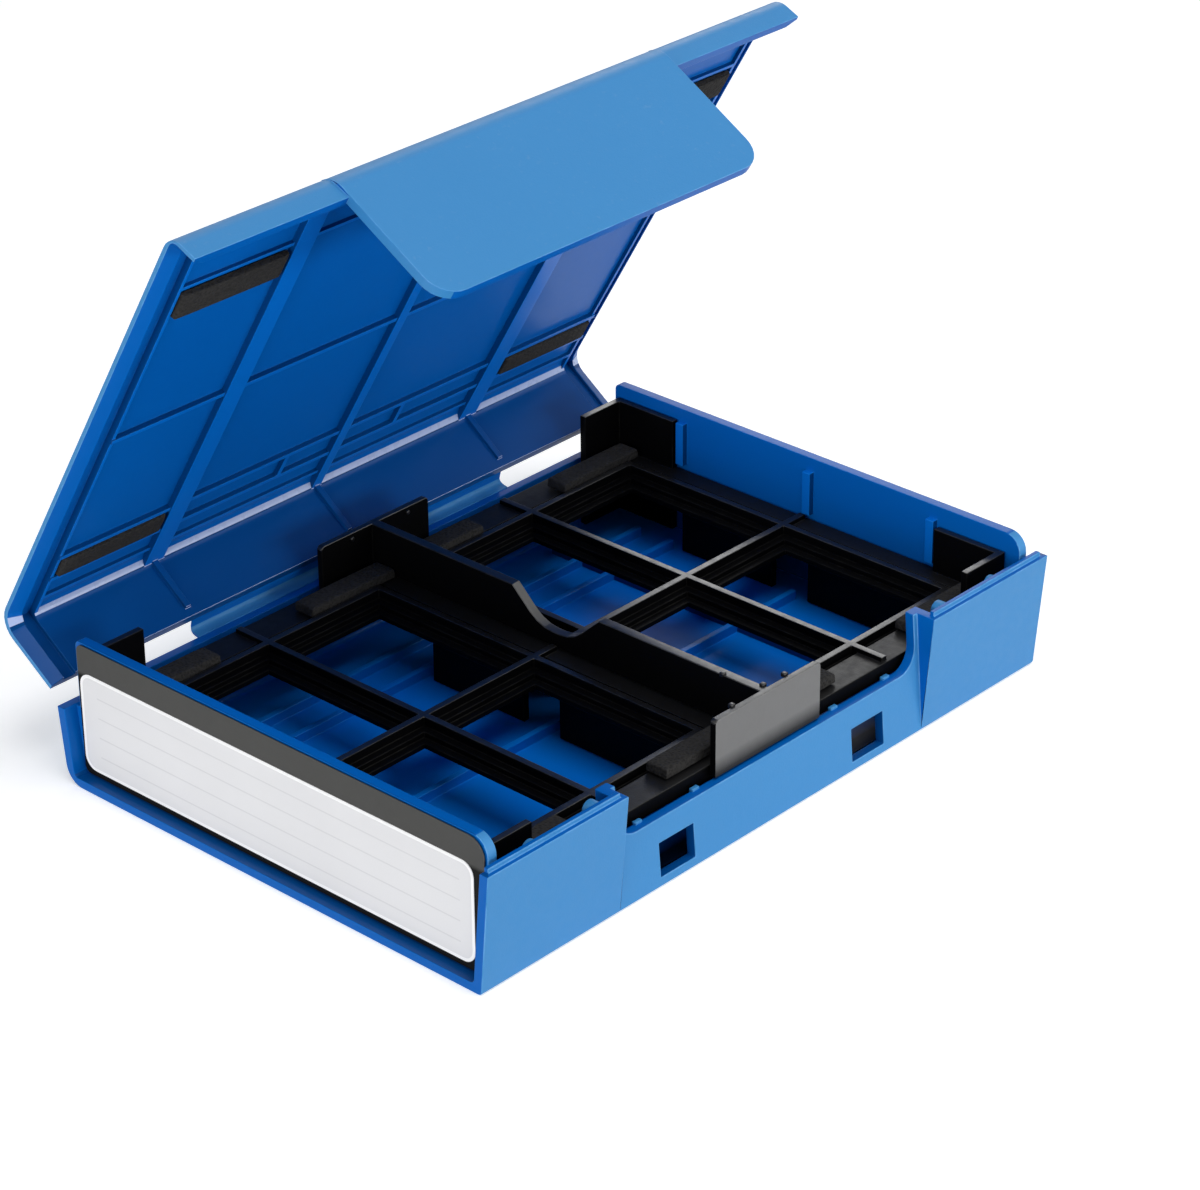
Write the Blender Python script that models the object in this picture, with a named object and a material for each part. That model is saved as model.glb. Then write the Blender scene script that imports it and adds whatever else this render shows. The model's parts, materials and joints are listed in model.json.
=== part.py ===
"""Hard drive case: a blue moulded case with a hinged lid, standing open.

The base, the hinge strip and the lid are drawn with a black tray that holds two small drives
side by side, a divider, foam pads and a label on one end wall.
Metres, +Z up. X runs along the case, Y from the latch side to the hinge side.
The origin is the middle of the underside of the base.
"""
from math import ceil, hypot, pi, radians, sin, sqrt, tan

import bmesh
import bpy
from mathutils import Matrix, Vector

# Clearances
FIT_GAP = 0.0003
RUNNING_GAP = 0.0005
OVERRUN = 0.004
WELD_DEPTH = 0.0004
MERGE_DISTANCE = 0.00001

# Base shell
CASE_LENGTH = 0.168
BASE_DEPTH = 0.1152
FLOOR_THICKNESS = 0.0020
WALL_THICKNESS = 0.0022
PANEL_HEIGHT = 0.0267
PANEL_LEAN = 0.0024
BACK_HEIGHT = 0.0170
BACK_LEAN = 0.0018
BACK_ROUND = 0.0045
FRONT_ROUND = 0.0010
INNER_ROUND = 0.0010

# Latch wall, the lower middle of the front
LATCH_HALF_WIDTH = 0.0460
LATCH_WALL_HEIGHT = 0.0148
LATCH_WALL_LEAN = 0.0012
LATCH_CORNER_ROUND = 0.0050
LATCH_RIB_WIDTH = 0.0020
LATCH_RIB_REACH = 0.0006
LATCH_RIB_PLACES = (0.0210, 0.0375)
WINDOW_PLACE = 0.0290
WINDOW_WIDTH = 0.0100
WINDOW_BOTTOM = 0.0022
WINDOW_HEIGHT = 0.0074

# Tongue and ribs of the front panels
TONGUE_SETBACK = 0.0011
TONGUE_HEIGHT = 0.0009
TONGUE_MARGIN = 0.0012
PANEL_RIB_WIDTH = 0.0022
PANEL_RIB_REACH = 0.0010
PANEL_RIB_SETBACK = 0.0160
PANEL_RIB_DROP = 0.0010
STOP_BLOCK_WIDTH = 0.0036
STOP_BLOCK_REACH = 0.0018
STOP_BLOCK_SETBACK = 0.0036

# End walls
END_WALL_SETBACK = 0.0033
END_WALL_THICKNESS = 0.0023
END_WALL_TOP_GAP = 0.0014
END_WALL_FRONT_ROUND = 0.0040
END_WALL_BACK_ROUND = 0.0012
END_RIB_WIDTH = 0.0022
END_RIB_REACH = 0.0015
END_RIB_TOP_DROP = 0.0030
END_RIB_MIDDLE_PLACE = -0.0005
END_RIB_POST_GAP = 0.0005

# Low ribs on the floor
FLOOR_RIB_WIDTH = 0.0014
FLOOR_RIB_HEIGHT = 0.0022
FLOOR_RIB_MIDDLE_PLACE = -0.0035
FLOOR_RIB_BACK_SETBACKS = (0.0256, 0.0161)
FLOOR_RIB_END_SETBACK = 0.0084
FLOOR_RIB_LONG_SETBACK = 0.0200
FLOOR_RIB_LONG_FRONT_SETBACK = 0.0276
FLOOR_RIB_LONG_BACK_SETBACK = 0.0076

# Lid shell, drawn closed and then turned about the hinge axis
CLOSED_BACK_GAP = 0.0008
SPINE_LEAN = 0.0014
LID_BACK_ROUND = 0.0050
LID_FRONT_ROUND = 0.0040
LID_INNER_ROUND = 0.0018
CLOSED_FRONT_GAP = 0.0014
LIP_HEIGHT = 0.0073
LIP_SETBACK = 0.0004
LIP_LEAN = 0.0006
FLAP_STEP = 0.0005
FLAP_GROUND_GAP = 0.0006
FLAP_CORNER_ROUND = 0.0060
FLAP_SIDE_GAP = 0.0004
FLAP_FRONT_ROUND = 0.0050
HINGE_OUT = 0.0029
HINGE_RISE = 0.0004
REST_OPENING = radians(59.5)

# Hooks on the flap
HOOK_TOP = 0.0060
HOOK_TIP_HEIGHT = 0.0008
HOOK_SLOPE_HEIGHT = 0.0026
HOOK_SIDE_GAP = 0.0012
HOOK_PASS_GAP = 0.00015

# Grooves across the outside of the lid
TOP_GROOVE_WIDTH = 0.0011
TOP_GROOVE_DEPTH = 0.0007
TOP_GROOVE_SHARES = ((0.02, 0.17), (0.20, 0.74), (0.78, 0.985))

# Ribs inside the lid
LID_MIDDLE_RIB_WIDTH = 0.0028
LID_SIDE_RIB_WIDTH = 0.0054
LID_RIB_HEIGHT = 0.0014
LID_LONG_RIB_OFFSET = 0.0003
CROSS_RIB_WIDTH = 0.0012
CROSS_RIB_HEIGHT = 0.0011
CROSS_RIB_PLACES = (0.0140, 0.0210, 0.0575)
LID_BORDER_WIDTH = 0.0010
LID_BORDER_HEIGHT = 0.0008
LID_BORDER_BACK_SETBACK = 0.0075
LID_BORDER_FRONT_SETBACK = 0.0155
LID_TIE_PLACES = (-0.0160, 0.0180)
SPINE_RIB_WIDTH = 0.0014
SPINE_RIB_HEIGHT = 0.0008
SPINE_RIB_ROOT = 0.0010
SPINE_RIB_MARGIN = 0.0020
RIM_GROOVE_DEPTH = 0.0008
RIM_RIDGE_WIDTH = 0.0009
RIM_BEVEL_LENGTH = 0.0027
RIM_EDGE_THICKNESS = 0.0009

# Hinge strip
HINGE_HALF_WIDTH = 0.0460
HINGE_FILM = 0.0005
HINGE_BULGE = 0.0014

# Tray
TRAY_FRONT_SETBACK = 0.0043
TRAY_BACK_SETBACK = 0.0026
TRAY_BOTTOM = 0.0140
LEDGE_TOP = 0.0174
RIB_TOP = 0.0184
RIB_WIDTH = 0.0016
RING_INNER_PLACE = 0.0076
RING_END_SETBACK = 0.0071
RING_FRONT_SETBACK = 0.0094
RING_BACK_SETBACK = 0.0097
CHANNEL_WIDTH = 0.0016
CHANNEL_DEPTH = 0.0010
FRAME_STEP_WIDTH = 0.0018
FRAME_STEP_DEPTH = 0.0012
STUB_MARGIN = 0.0006
SKIRT_GAP_BEFORE_MIDDLE_RIB = 0.0035
SKIRT_GAP_AFTER_MIDDLE_RIB = 0.0065
SKIRT_GAP_BEFORE_BACK_RIB = 0.0030
POST_HEADROOM = 0.0028
CORNER_POST_WALL = 0.0016
CORNER_POST_LENGTH = 0.0128
CORNER_POST_WIDTH = 0.0175

# Divider
DIVIDER_THICKNESS = 0.0022
DIVIDER_HEADROOM = 0.0038
DIVIDER_PLATE_HALF_WIDTH = 0.0158
DIVIDER_PLATE_THICKNESS = 0.0015
DIVIDER_PLATE_BOTTOM = 0.0153
DIVIDER_OVERHANG = 0.0019
DIVIDER_PLATE_ROUND = 0.0009
NOTCH_MIDDLE = 0.0007
NOTCH_TOP_WIDTH = 0.0240
NOTCH_BOTTOM_WIDTH = 0.0090
NOTCH_SILL = 0.0036
NOTCH_ROUND = 0.0090

# Foam pads
TRAY_PAD_LENGTH = 0.0242
TRAY_PAD_WIDTH = 0.0054
TRAY_PAD_HEIGHT = 0.0025
TRAY_PAD_END_MARGIN = 0.0011
TRAY_PAD_BACK_MARGIN = 0.0009
LID_PAD_WIDTH = 0.0066
LID_PAD_HEIGHT = 0.0014
LID_PAD_RIB_MARGIN = 0.0008
LID_PAD_RIDGE_MARGIN = 0.0004
LID_PAD_FRONT_MARGIN = 0.0010
PAD_EDGE = 0.0003

# Label
LABEL_THICKNESS = 0.00025
LABEL_MARGIN = 0.0003
LABEL_ROUND = 0.0016

# Facets of round corners, each a count for a right angle
FINE_STEPS = 6
COARSE_STEPS = 4
FLAT_ANGLE = radians(1)
BEVEL_ANGLE = radians(50)
SHARP_ANGLE = radians(30)

# Worked out from the sizes above
HALF_LENGTH = CASE_LENGTH / 2
HALF_DEPTH = BASE_DEPTH / 2
BACK_TOP = HALF_DEPTH + BACK_LEAN
PANEL_TOP = -HALF_DEPTH - PANEL_LEAN
END_WALL_OUTSIDE = HALF_LENGTH - END_WALL_SETBACK
END_WALL_INSIDE = END_WALL_OUTSIDE - END_WALL_THICKNESS
SPINE_BOTTOM = BACK_HEIGHT + CLOSED_BACK_GAP
LID_BACK = BACK_TOP - SPINE_LEAN
LIP_FRONT = PANEL_TOP + LIP_SETBACK
LID_FRONT = LIP_FRONT + LIP_LEAN
LIP_BOTTOM = PANEL_HEIGHT + CLOSED_FRONT_GAP
CLOSED_HEIGHT = LIP_BOTTOM + LIP_HEIGHT
FLAP_FRONT = LIP_FRONT - FLAP_STEP
FLAP_HALF_WIDTH = LATCH_HALF_WIDTH - FLAP_SIDE_GAP
LID_CEILING = CLOSED_HEIGHT - WALL_THICKNESS
LID_LONG_RIB_PLACE = LATCH_HALF_WIDTH + LID_LONG_RIB_OFFSET
RIM_BEVEL_START = HALF_LENGTH - RIM_BEVEL_LENGTH
END_WALL_HEIGHT = LID_CEILING - END_WALL_TOP_GAP
HINGE_AXIS = Vector((0, BACK_TOP + HINGE_OUT, BACK_HEIGHT + HINGE_RISE))
TRAY_HALF_LENGTH = END_WALL_INSIDE - FIT_GAP
TRAY_FRONT = TRAY_FRONT_SETBACK - HALF_DEPTH
TRAY_BACK = HALF_DEPTH - TRAY_BACK_SETBACK
RING_OUTER_PLACE = TRAY_HALF_LENGTH - RING_END_SETBACK
RING_FRONT = TRAY_FRONT + RING_FRONT_SETBACK
RING_BACK = TRAY_BACK - RING_BACK_SETBACK
BAY_BAR_PLACE = (RING_INNER_PLACE + RING_OUTER_PLACE) / 2
CROSS_BAR_PLACE = (RING_FRONT + RING_BACK) / 2
CORNER_POST_TOP = LID_CEILING - LID_RIB_HEIGHT - POST_HEADROOM
DIVIDER_TOP = LID_CEILING - LID_RIB_HEIGHT - DIVIDER_HEADROOM
DIVIDER_FRONT = TRAY_FRONT - DIVIDER_OVERHANG


def clear_scene():
    for item in list(bpy.data.objects):
        bpy.data.objects.remove(item, do_unlink=True)


def plastic(name, colour, roughness):
    material = bpy.data.materials.new(name)
    material.use_nodes = True
    shader = material.node_tree.nodes["Principled BSDF"]
    shader.inputs["Base Color"].default_value = (*colour, 1.0)
    shader.inputs["Roughness"].default_value = roughness
    shader.inputs["Metallic"].default_value = 0.0
    return material


def rounded(corners, steps=FINE_STEPS):
    """Turn (u, v, radius) corners of a closed outline into points, with arcs at the corners."""
    points = []
    count = len(corners)
    for index, (u, v, radius) in enumerate(corners):
        here = Vector((u, v))
        if not radius:
            points.append(here)
            continue
        before = (Vector(corners[index - 1][:2]) - here).normalized()
        after = (Vector(corners[(index + 1) % count][:2]) - here).normalized()
        half = before.angle(after) / 2
        centre = here + (before + after).normalized() * radius / sin(half)
        first = here + before * radius / tan(half) - centre
        last = here + after * radius / tan(half) - centre
        turn = first.angle_signed(last)
        facets = max(2, ceil(steps * abs(turn) / (pi / 2)))
        for facet in range(facets + 1):
            points.append(centre + Matrix.Rotation(-turn * facet / facets, 2) @ first)
    return points


def prism(name, outline, axis, low, high):
    """Extrude a closed outline of (u, v) points along an axis, from low to high."""
    return loft(name, outline, low, outline, high, axis)


def loft(name, first, low, last, high, axis):
    """Join two outlines with as many points each, one at low and one at high along an axis."""
    places = {
        "X": lambda u, v, w: (w, u, v),
        "Y": lambda u, v, w: (u, w, v),
        "Z": lambda u, v, w: (u, v, w),
    }
    place = places[axis]
    mesh = bpy.data.meshes.new(name)
    shape = bmesh.new()
    ends = []
    for ring, w in ((first, low), (last, high)):
        ends.append([shape.verts.new(place(u, v, w)) for u, v in ring])
    for ring in ends:
        shape.faces.new(ring)
    for index in range(len(first)):
        following = (index + 1) % len(first)
        shape.faces.new((ends[0][index], ends[0][following], ends[1][following], ends[1][index]))
    bmesh.ops.recalc_face_normals(shape, faces=shape.faces)
    shape.to_mesh(mesh)
    shape.free()
    item = bpy.data.objects.new(name, mesh)
    bpy.context.scene.collection.objects.link(item)
    return item


def box(name, x, y, z):
    """A box between the given pairs of x, y and z."""
    outline = [(x[0], y[0]), (x[1], y[0]), (x[1], y[1]), (x[0], y[1])]
    return prism(name, outline, "Z", z[0], z[1])


def combine(body, tool, operation):
    """Unite, cut or intersect two solids and keep the result as the first object."""
    step = body.modifiers.new("combine", "BOOLEAN")
    step.operation = operation
    step.solver = "EXACT"
    step.object = tool
    bpy.context.view_layer.update()
    graph = bpy.context.evaluated_depsgraph_get()
    result = bpy.data.meshes.new_from_object(body.evaluated_get(graph))
    body.modifiers.clear()
    body.data = result
    bpy.data.objects.remove(tool, do_unlink=True)
    return body


def join(body, tool):
    return combine(body, tool, "UNION")


def cut(body, tool):
    return combine(body, tool, "DIFFERENCE")


def finish(item, material, edge=0):
    """Clean a finished solid, soften its edges and give it its material."""
    shape = bmesh.new()
    shape.from_mesh(item.data)
    bmesh.ops.remove_doubles(shape, verts=shape.verts, dist=MERGE_DISTANCE)
    bmesh.ops.dissolve_limit(shape, angle_limit=FLAT_ANGLE, verts=shape.verts, edges=shape.edges)
    shape.to_mesh(item.data)
    shape.free()
    item.data.materials.clear()
    item.data.materials.append(material)
    if edge:
        soften = item.modifiers.new("softened edges", "BEVEL")
        soften.width = edge
        soften.segments = 1
        soften.limit_method = "ANGLE"
        soften.angle_limit = BEVEL_ANGLE
    item.data.shade_smooth()
    item.data.set_sharp_from_angle(angle=SHARP_ANGLE)
    return item


def leaning(place, lean, height, z):
    """The place of a leaning face at a height."""
    return place + lean * z / height


def panel_face(z):
    return leaning(-HALF_DEPTH, -PANEL_LEAN, PANEL_HEIGHT, z)


def latch_face(z):
    return leaning(-HALF_DEPTH, LATCH_WALL_LEAN, LATCH_WALL_HEIGHT, z)


def back_face(z):
    return leaning(HALF_DEPTH, BACK_LEAN, BACK_HEIGHT, z)


def base_trough():
    """The floor, the back wall and the front wall, as tall as the end panels."""
    over = PANEL_HEIGHT + OVERRUN
    outside = rounded([
        (-HALF_DEPTH, 0, FRONT_ROUND),
        (HALF_DEPTH, 0, BACK_ROUND),
        (BACK_TOP, BACK_HEIGHT, 0),
        (BACK_TOP - WALL_THICKNESS, BACK_HEIGHT, 0),
        (back_face(BACK_HEIGHT) - WALL_THICKNESS - OVERRUN, BACK_HEIGHT, 0),
        (PANEL_TOP + WALL_THICKNESS + OVERRUN, PANEL_HEIGHT, 0),
        (PANEL_TOP, PANEL_HEIGHT, 0),
    ])
    inside = rounded([
        (panel_face(FLOOR_THICKNESS) + WALL_THICKNESS, FLOOR_THICKNESS, INNER_ROUND),
        (back_face(FLOOR_THICKNESS) - WALL_THICKNESS, FLOOR_THICKNESS, INNER_ROUND),
        (back_face(over) - WALL_THICKNESS, over, 0),
        (panel_face(over) + WALL_THICKNESS, over, 0),
    ], COARSE_STEPS)
    shell = prism("base_shell", outside, "X", -HALF_LENGTH, HALF_LENGTH)
    reach = HALF_LENGTH + OVERRUN
    return cut(shell, prism("inside", inside, "X", -reach, reach))


def add_latch_wall(shell):
    """Step the middle of the front back, so that the lid's flap lies in it."""
    top = PANEL_HEIGHT
    thick = WALL_THICKNESS
    reach = LATCH_HALF_WIDTH + thick
    wall = [
        (panel_face(FLOOR_THICKNESS) + FIT_GAP, FLOOR_THICKNESS - WELD_DEPTH),
        (latch_face(FLOOR_THICKNESS) + thick, FLOOR_THICKNESS - WELD_DEPTH),
        (latch_face(top) + thick, top),
        (panel_face(top) + FIT_GAP, top),
    ]
    join(shell, prism("latch_wall", wall, "X", -reach, reach))
    outer = [
        (latch_face(0), -OVERRUN),
        (latch_face(0), 0),
        (latch_face(top + OVERRUN), top + OVERRUN),
        (panel_face(top) - OVERRUN, top + OVERRUN),
        (panel_face(top) - OVERRUN, -OVERRUN),
    ]
    cut(shell, prism("recess", outer, "X", -LATCH_HALF_WIDTH, LATCH_HALF_WIDTH))
    opening = rounded([
        (-LATCH_HALF_WIDTH - OVERRUN, top + OVERRUN, 0),
        (-LATCH_HALF_WIDTH - OVERRUN, top + FIT_GAP, 0),
        (-LATCH_HALF_WIDTH + thick / 2, top + FIT_GAP, 0),
        (-LATCH_HALF_WIDTH + thick / 2, LATCH_WALL_HEIGHT, LATCH_CORNER_ROUND),
        (LATCH_HALF_WIDTH - thick / 2, LATCH_WALL_HEIGHT, LATCH_CORNER_ROUND),
        (LATCH_HALF_WIDTH - thick / 2, top + FIT_GAP, 0),
        (LATCH_HALF_WIDTH + OVERRUN, top + FIT_GAP, 0),
        (LATCH_HALF_WIDTH + OVERRUN, top + OVERRUN, 0),
    ])
    cut(shell, prism("lowered_edge", opening, "Y", PANEL_TOP - OVERRUN, RING_FRONT))
    for side in (-1, 1):
        middle = side * WINDOW_PLACE
        cut(shell, box(
            "latch_window",
            (middle - WINDOW_WIDTH / 2, middle + WINDOW_WIDTH / 2),
            (PANEL_TOP - OVERRUN, latch_face(WINDOW_BOTTOM) + thick + OVERRUN),
            (WINDOW_BOTTOM, WINDOW_BOTTOM + WINDOW_HEIGHT),
        ))
        for place in LATCH_RIB_PLACES:
            add_latch_rib(shell, side * place)


def add_latch_rib(shell, middle):
    """A short upright rib on the inside of the latch wall, over the height of the windows."""
    low = WINDOW_BOTTOM + WINDOW_HEIGHT + RUNNING_GAP
    high = LATCH_WALL_HEIGHT - WELD_DEPTH
    root = WALL_THICKNESS - WELD_DEPTH
    reach = WALL_THICKNESS + LATCH_RIB_REACH
    outline = [
        (latch_face(low) + root, low),
        (latch_face(low) + reach, low),
        (latch_face(high) + reach, high),
        (latch_face(high) + root, high),
    ]
    half = LATCH_RIB_WIDTH / 2
    join(shell, prism("latch_rib", outline, "X", middle - half, middle + half))


def add_end_walls(shell):
    """The taller end walls stand back from the ends of the floor, so that a rim goes round them."""
    back = LID_BACK - WALL_THICKNESS + RIM_GROOVE_DEPTH - FIT_GAP
    front = LIP_FRONT + WALL_THICKNESS + RUNNING_GAP
    outline = rounded([
        (-HALF_DEPTH + WALL_THICKNESS / 2, FLOOR_THICKNESS - WELD_DEPTH, 0),
        (HALF_DEPTH - WALL_THICKNESS / 2, FLOOR_THICKNESS - WELD_DEPTH, 0),
        (back_face(BACK_HEIGHT) - WALL_THICKNESS / 2, BACK_HEIGHT - WELD_DEPTH, 0),
        (back, BACK_HEIGHT - WELD_DEPTH, 0),
        (back, END_WALL_HEIGHT, END_WALL_BACK_ROUND),
        (front, END_WALL_HEIGHT, END_WALL_FRONT_ROUND),
        (front, PANEL_HEIGHT - WELD_DEPTH, 0),
        (panel_face(PANEL_HEIGHT) + WALL_THICKNESS / 2, PANEL_HEIGHT - WELD_DEPTH, 0),
    ])
    for side in (-1, 1):
        ends = sorted((side * END_WALL_INSIDE, side * END_WALL_OUTSIDE))
        join(shell, prism("end_wall", outline, "X", *ends))
        places = (
            TRAY_BACK - CORNER_POST_WIDTH - END_RIB_POST_GAP - END_RIB_WIDTH,
            END_RIB_MIDDLE_PLACE - END_RIB_WIDTH / 2,
            TRAY_FRONT + CORNER_POST_WIDTH + END_RIB_POST_GAP,
        )
        for place in places:
            root = END_WALL_INSIDE + WELD_DEPTH
            tip = END_WALL_INSIDE - END_RIB_REACH
            across = sorted((side * root, side * tip))
            heights = (RIB_TOP + FIT_GAP, END_WALL_HEIGHT - END_RIB_TOP_DROP)
            join(shell, box("end_rib", across, (place, place + END_RIB_WIDTH), heights))


def add_panel_details(shell):
    """A tongue along the top of each front panel, behind a narrow ledge, and the ribs behind it."""
    start = LATCH_HALF_WIDTH + TONGUE_MARGIN
    end = HALF_LENGTH - TONGUE_MARGIN
    back = PANEL_TOP + WALL_THICKNESS
    low = LEDGE_TOP + FIT_GAP
    high = PANEL_HEIGHT - PANEL_RIB_DROP
    for side in (-1, 1):
        join(shell, box(
            "tongue",
            sorted((side * start, side * end)),
            (PANEL_TOP + TONGUE_SETBACK, back),
            (PANEL_HEIGHT - WELD_DEPTH, PANEL_HEIGHT + TONGUE_HEIGHT),
        ))
        rib_start = HALF_LENGTH - PANEL_RIB_SETBACK - PANEL_RIB_WIDTH / 2
        block_start = LATCH_HALF_WIDTH + WALL_THICKNESS + STOP_BLOCK_SETBACK
        for first, width, reach in (
            (rib_start, PANEL_RIB_WIDTH, PANEL_RIB_REACH),
            (block_start, STOP_BLOCK_WIDTH, STOP_BLOCK_REACH),
        ):
            outline = [
                (panel_face(low) + WALL_THICKNESS - WELD_DEPTH, low),
                (panel_face(low) + WALL_THICKNESS + reach, low),
                (panel_face(high) + WALL_THICKNESS + reach, high),
                (panel_face(high) + WALL_THICKNESS - WELD_DEPTH, high),
            ]
            ends = sorted((side * first, side * (first + width)))
            join(shell, prism("panel_rib", outline, "X", *ends))


def add_floor_ribs(shell):
    """Low ribs that stiffen the floor under the tray."""
    height = (FLOOR_THICKNESS - WELD_DEPTH, FLOOR_THICKNESS + FLOOR_RIB_HEIGHT)
    reach = END_WALL_INSIDE - FLOOR_RIB_END_SETBACK
    half = FLOOR_RIB_WIDTH / 2
    back_places = [HALF_DEPTH - setback for setback in FLOOR_RIB_BACK_SETBACKS]
    for place in [FLOOR_RIB_MIDDLE_PLACE] + back_places:
        join(shell, box("floor_rib", (-reach, reach), (place - half, place + half), height))
    front = FLOOR_RIB_LONG_FRONT_SETBACK - HALF_DEPTH
    back = HALF_DEPTH - FLOOR_RIB_LONG_BACK_SETBACK
    for side in (-1, 1):
        middle = side * (RING_OUTER_PLACE - FLOOR_RIB_LONG_SETBACK)
        join(shell, box("floor_rib", (middle - half, middle + half), (front, back), height))


def make_base_shell(material):
    shell = base_trough()
    add_latch_wall(shell)
    add_end_walls(shell)
    add_panel_details(shell)
    add_floor_ribs(shell)
    return finish(shell, material)


def lid_profile():
    """Section of the closed lid: the spine behind, the panel on top and the lip in front."""
    inner_front = LIP_FRONT + WALL_THICKNESS
    return rounded([
        (BACK_TOP, SPINE_BOTTOM, 0),
        (LID_BACK, CLOSED_HEIGHT, LID_BACK_ROUND),
        (LID_FRONT, CLOSED_HEIGHT, LID_FRONT_ROUND),
        (LIP_FRONT, LIP_BOTTOM, 0),
        (inner_front, LIP_BOTTOM, 0),
        (LID_FRONT + WALL_THICKNESS, LID_CEILING, LID_INNER_ROUND),
        (LID_BACK - WALL_THICKNESS, LID_CEILING, LID_BACK_ROUND - WALL_THICKNESS),
        (BACK_TOP - WALL_THICKNESS, SPINE_BOTTOM, 0),
    ])


def flap():
    """The latch flap, with rounded lower corners, that hangs over the latch wall when closed."""
    inner = FLAP_FRONT + WALL_THICKNESS
    root = LID_FRONT + LID_FRONT_ROUND + WALL_THICKNESS
    section = rounded([
        (root, CLOSED_HEIGHT, 0),
        (FLAP_FRONT, CLOSED_HEIGHT, FLAP_FRONT_ROUND),
        (FLAP_FRONT, FLAP_GROUND_GAP, 0),
        (inner, FLAP_GROUND_GAP, 0),
        (inner, LID_CEILING, LID_INNER_ROUND),
        (root, LID_CEILING, 0),
    ])
    shape = prism("flap", section, "X", -FLAP_HALF_WIDTH, FLAP_HALF_WIDTH)
    outline = rounded([
        (-FLAP_HALF_WIDTH - OVERRUN, CLOSED_HEIGHT + OVERRUN, 0),
        (-FLAP_HALF_WIDTH - OVERRUN, LIP_BOTTOM, 0),
        (-FLAP_HALF_WIDTH, LIP_BOTTOM, 0),
        (-FLAP_HALF_WIDTH, FLAP_GROUND_GAP, FLAP_CORNER_ROUND),
        (FLAP_HALF_WIDTH, FLAP_GROUND_GAP, FLAP_CORNER_ROUND),
        (FLAP_HALF_WIDTH, LIP_BOTTOM, 0),
        (FLAP_HALF_WIDTH + OVERRUN, LIP_BOTTOM, 0),
        (FLAP_HALF_WIDTH + OVERRUN, CLOSED_HEIGHT + OVERRUN, 0),
    ])
    whole = prism("flap_outline", outline, "Y", FLAP_FRONT - OVERRUN, root + OVERRUN)
    return combine(shape, whole, "INTERSECT")


def hook_tip():
    """How far in a hook may reach: it turns with the lid past the wall over the window."""
    window_top = WINDOW_BOTTOM + WINDOW_HEIGHT
    wall_radius = hypot(latch_face(window_top) - HINGE_AXIS.y, window_top - HINGE_AXIS.z)
    tip_radius = wall_radius + HOOK_PASS_GAP
    rise = HOOK_TOP - HINGE_AXIS.z
    return HINGE_AXIS.y - sqrt(tip_radius ** 2 - rise ** 2)


def add_hooks(shell):
    inner = FLAP_FRONT + WALL_THICKNESS
    tip = hook_tip()
    outline = [
        (inner - WELD_DEPTH, HOOK_TOP),
        (tip, HOOK_TOP),
        (tip, HOOK_TOP - HOOK_TIP_HEIGHT),
        (inner, HOOK_TOP - HOOK_TIP_HEIGHT - HOOK_SLOPE_HEIGHT),
        (inner - WELD_DEPTH, HOOK_TOP - HOOK_TIP_HEIGHT - HOOK_SLOPE_HEIGHT),
    ]
    half = WINDOW_WIDTH / 2 - HOOK_SIDE_GAP
    for side in (-1, 1):
        middle = side * WINDOW_PLACE
        join(shell, prism("hook", outline, "X", middle - half, middle + half))


def lid_rib(shell, x, y, height):
    join(shell, box("lid_rib", x, y, (LID_CEILING - height, LID_CEILING + WELD_DEPTH)))


def add_lid_ribs(shell):
    """The grid of ribs inside the lid, and the thin ribs that run on down the spine."""
    back = LID_BACK - WALL_THICKNESS
    rim = END_WALL_INSIDE - FIT_GAP
    front = LIP_FRONT + WALL_THICKNESS - WELD_DEPTH
    spine_inside = BACK_TOP - WALL_THICKNESS
    root = LID_BACK - LID_BACK_ROUND
    outline = [
        (root, LID_CEILING + WELD_DEPTH),
        (back + WELD_DEPTH, LID_CEILING + WELD_DEPTH),
        (spine_inside + WELD_DEPTH, SPINE_BOTTOM + SPINE_RIB_MARGIN),
        (spine_inside - SPINE_RIB_HEIGHT, SPINE_BOTTOM + SPINE_RIB_MARGIN),
        (back - SPINE_RIB_HEIGHT, LID_CEILING - SPINE_RIB_ROOT),
        (root, LID_CEILING - SPINE_RIB_ROOT),
    ]
    thin = SPINE_RIB_WIDTH / 2
    for place, width in (
        (-LID_LONG_RIB_PLACE, LID_SIDE_RIB_WIDTH),
        (0, LID_MIDDLE_RIB_WIDTH),
        (LID_LONG_RIB_PLACE, LID_SIDE_RIB_WIDTH),
    ):
        join(shell, prism("spine_rib", outline, "X", place - thin, place + thin))
        across = (place - width / 2, place + width / 2)
        lid_rib(shell, across, (front, back + WELD_DEPTH), LID_RIB_HEIGHT)
    half = CROSS_RIB_WIDTH / 2
    for place in CROSS_RIB_PLACES:
        middle = LID_BACK - place
        lid_rib(shell, (-rim, rim), (middle - half, middle + half), CROSS_RIB_HEIGHT)
    ties = (LID_BACK - CROSS_RIB_PLACES[1], LID_BACK - CROSS_RIB_PLACES[0])
    for place in LID_TIE_PLACES:
        lid_rib(shell, (place - half, place + half), ties, CROSS_RIB_HEIGHT)
    half = LID_BORDER_WIDTH / 2
    borders = (LID_BACK - LID_BORDER_BACK_SETBACK, LID_FRONT + LID_BORDER_FRONT_SETBACK)
    for middle in borders:
        lid_rib(shell, (-rim, rim), (middle - half, middle + half), LID_BORDER_HEIGHT)
    for side in (-1, 1):
        across = sorted((side * (rim - RIM_RIDGE_WIDTH), side * rim))
        lid_rib(shell, across, (front, back), LID_BORDER_HEIGHT)


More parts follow.
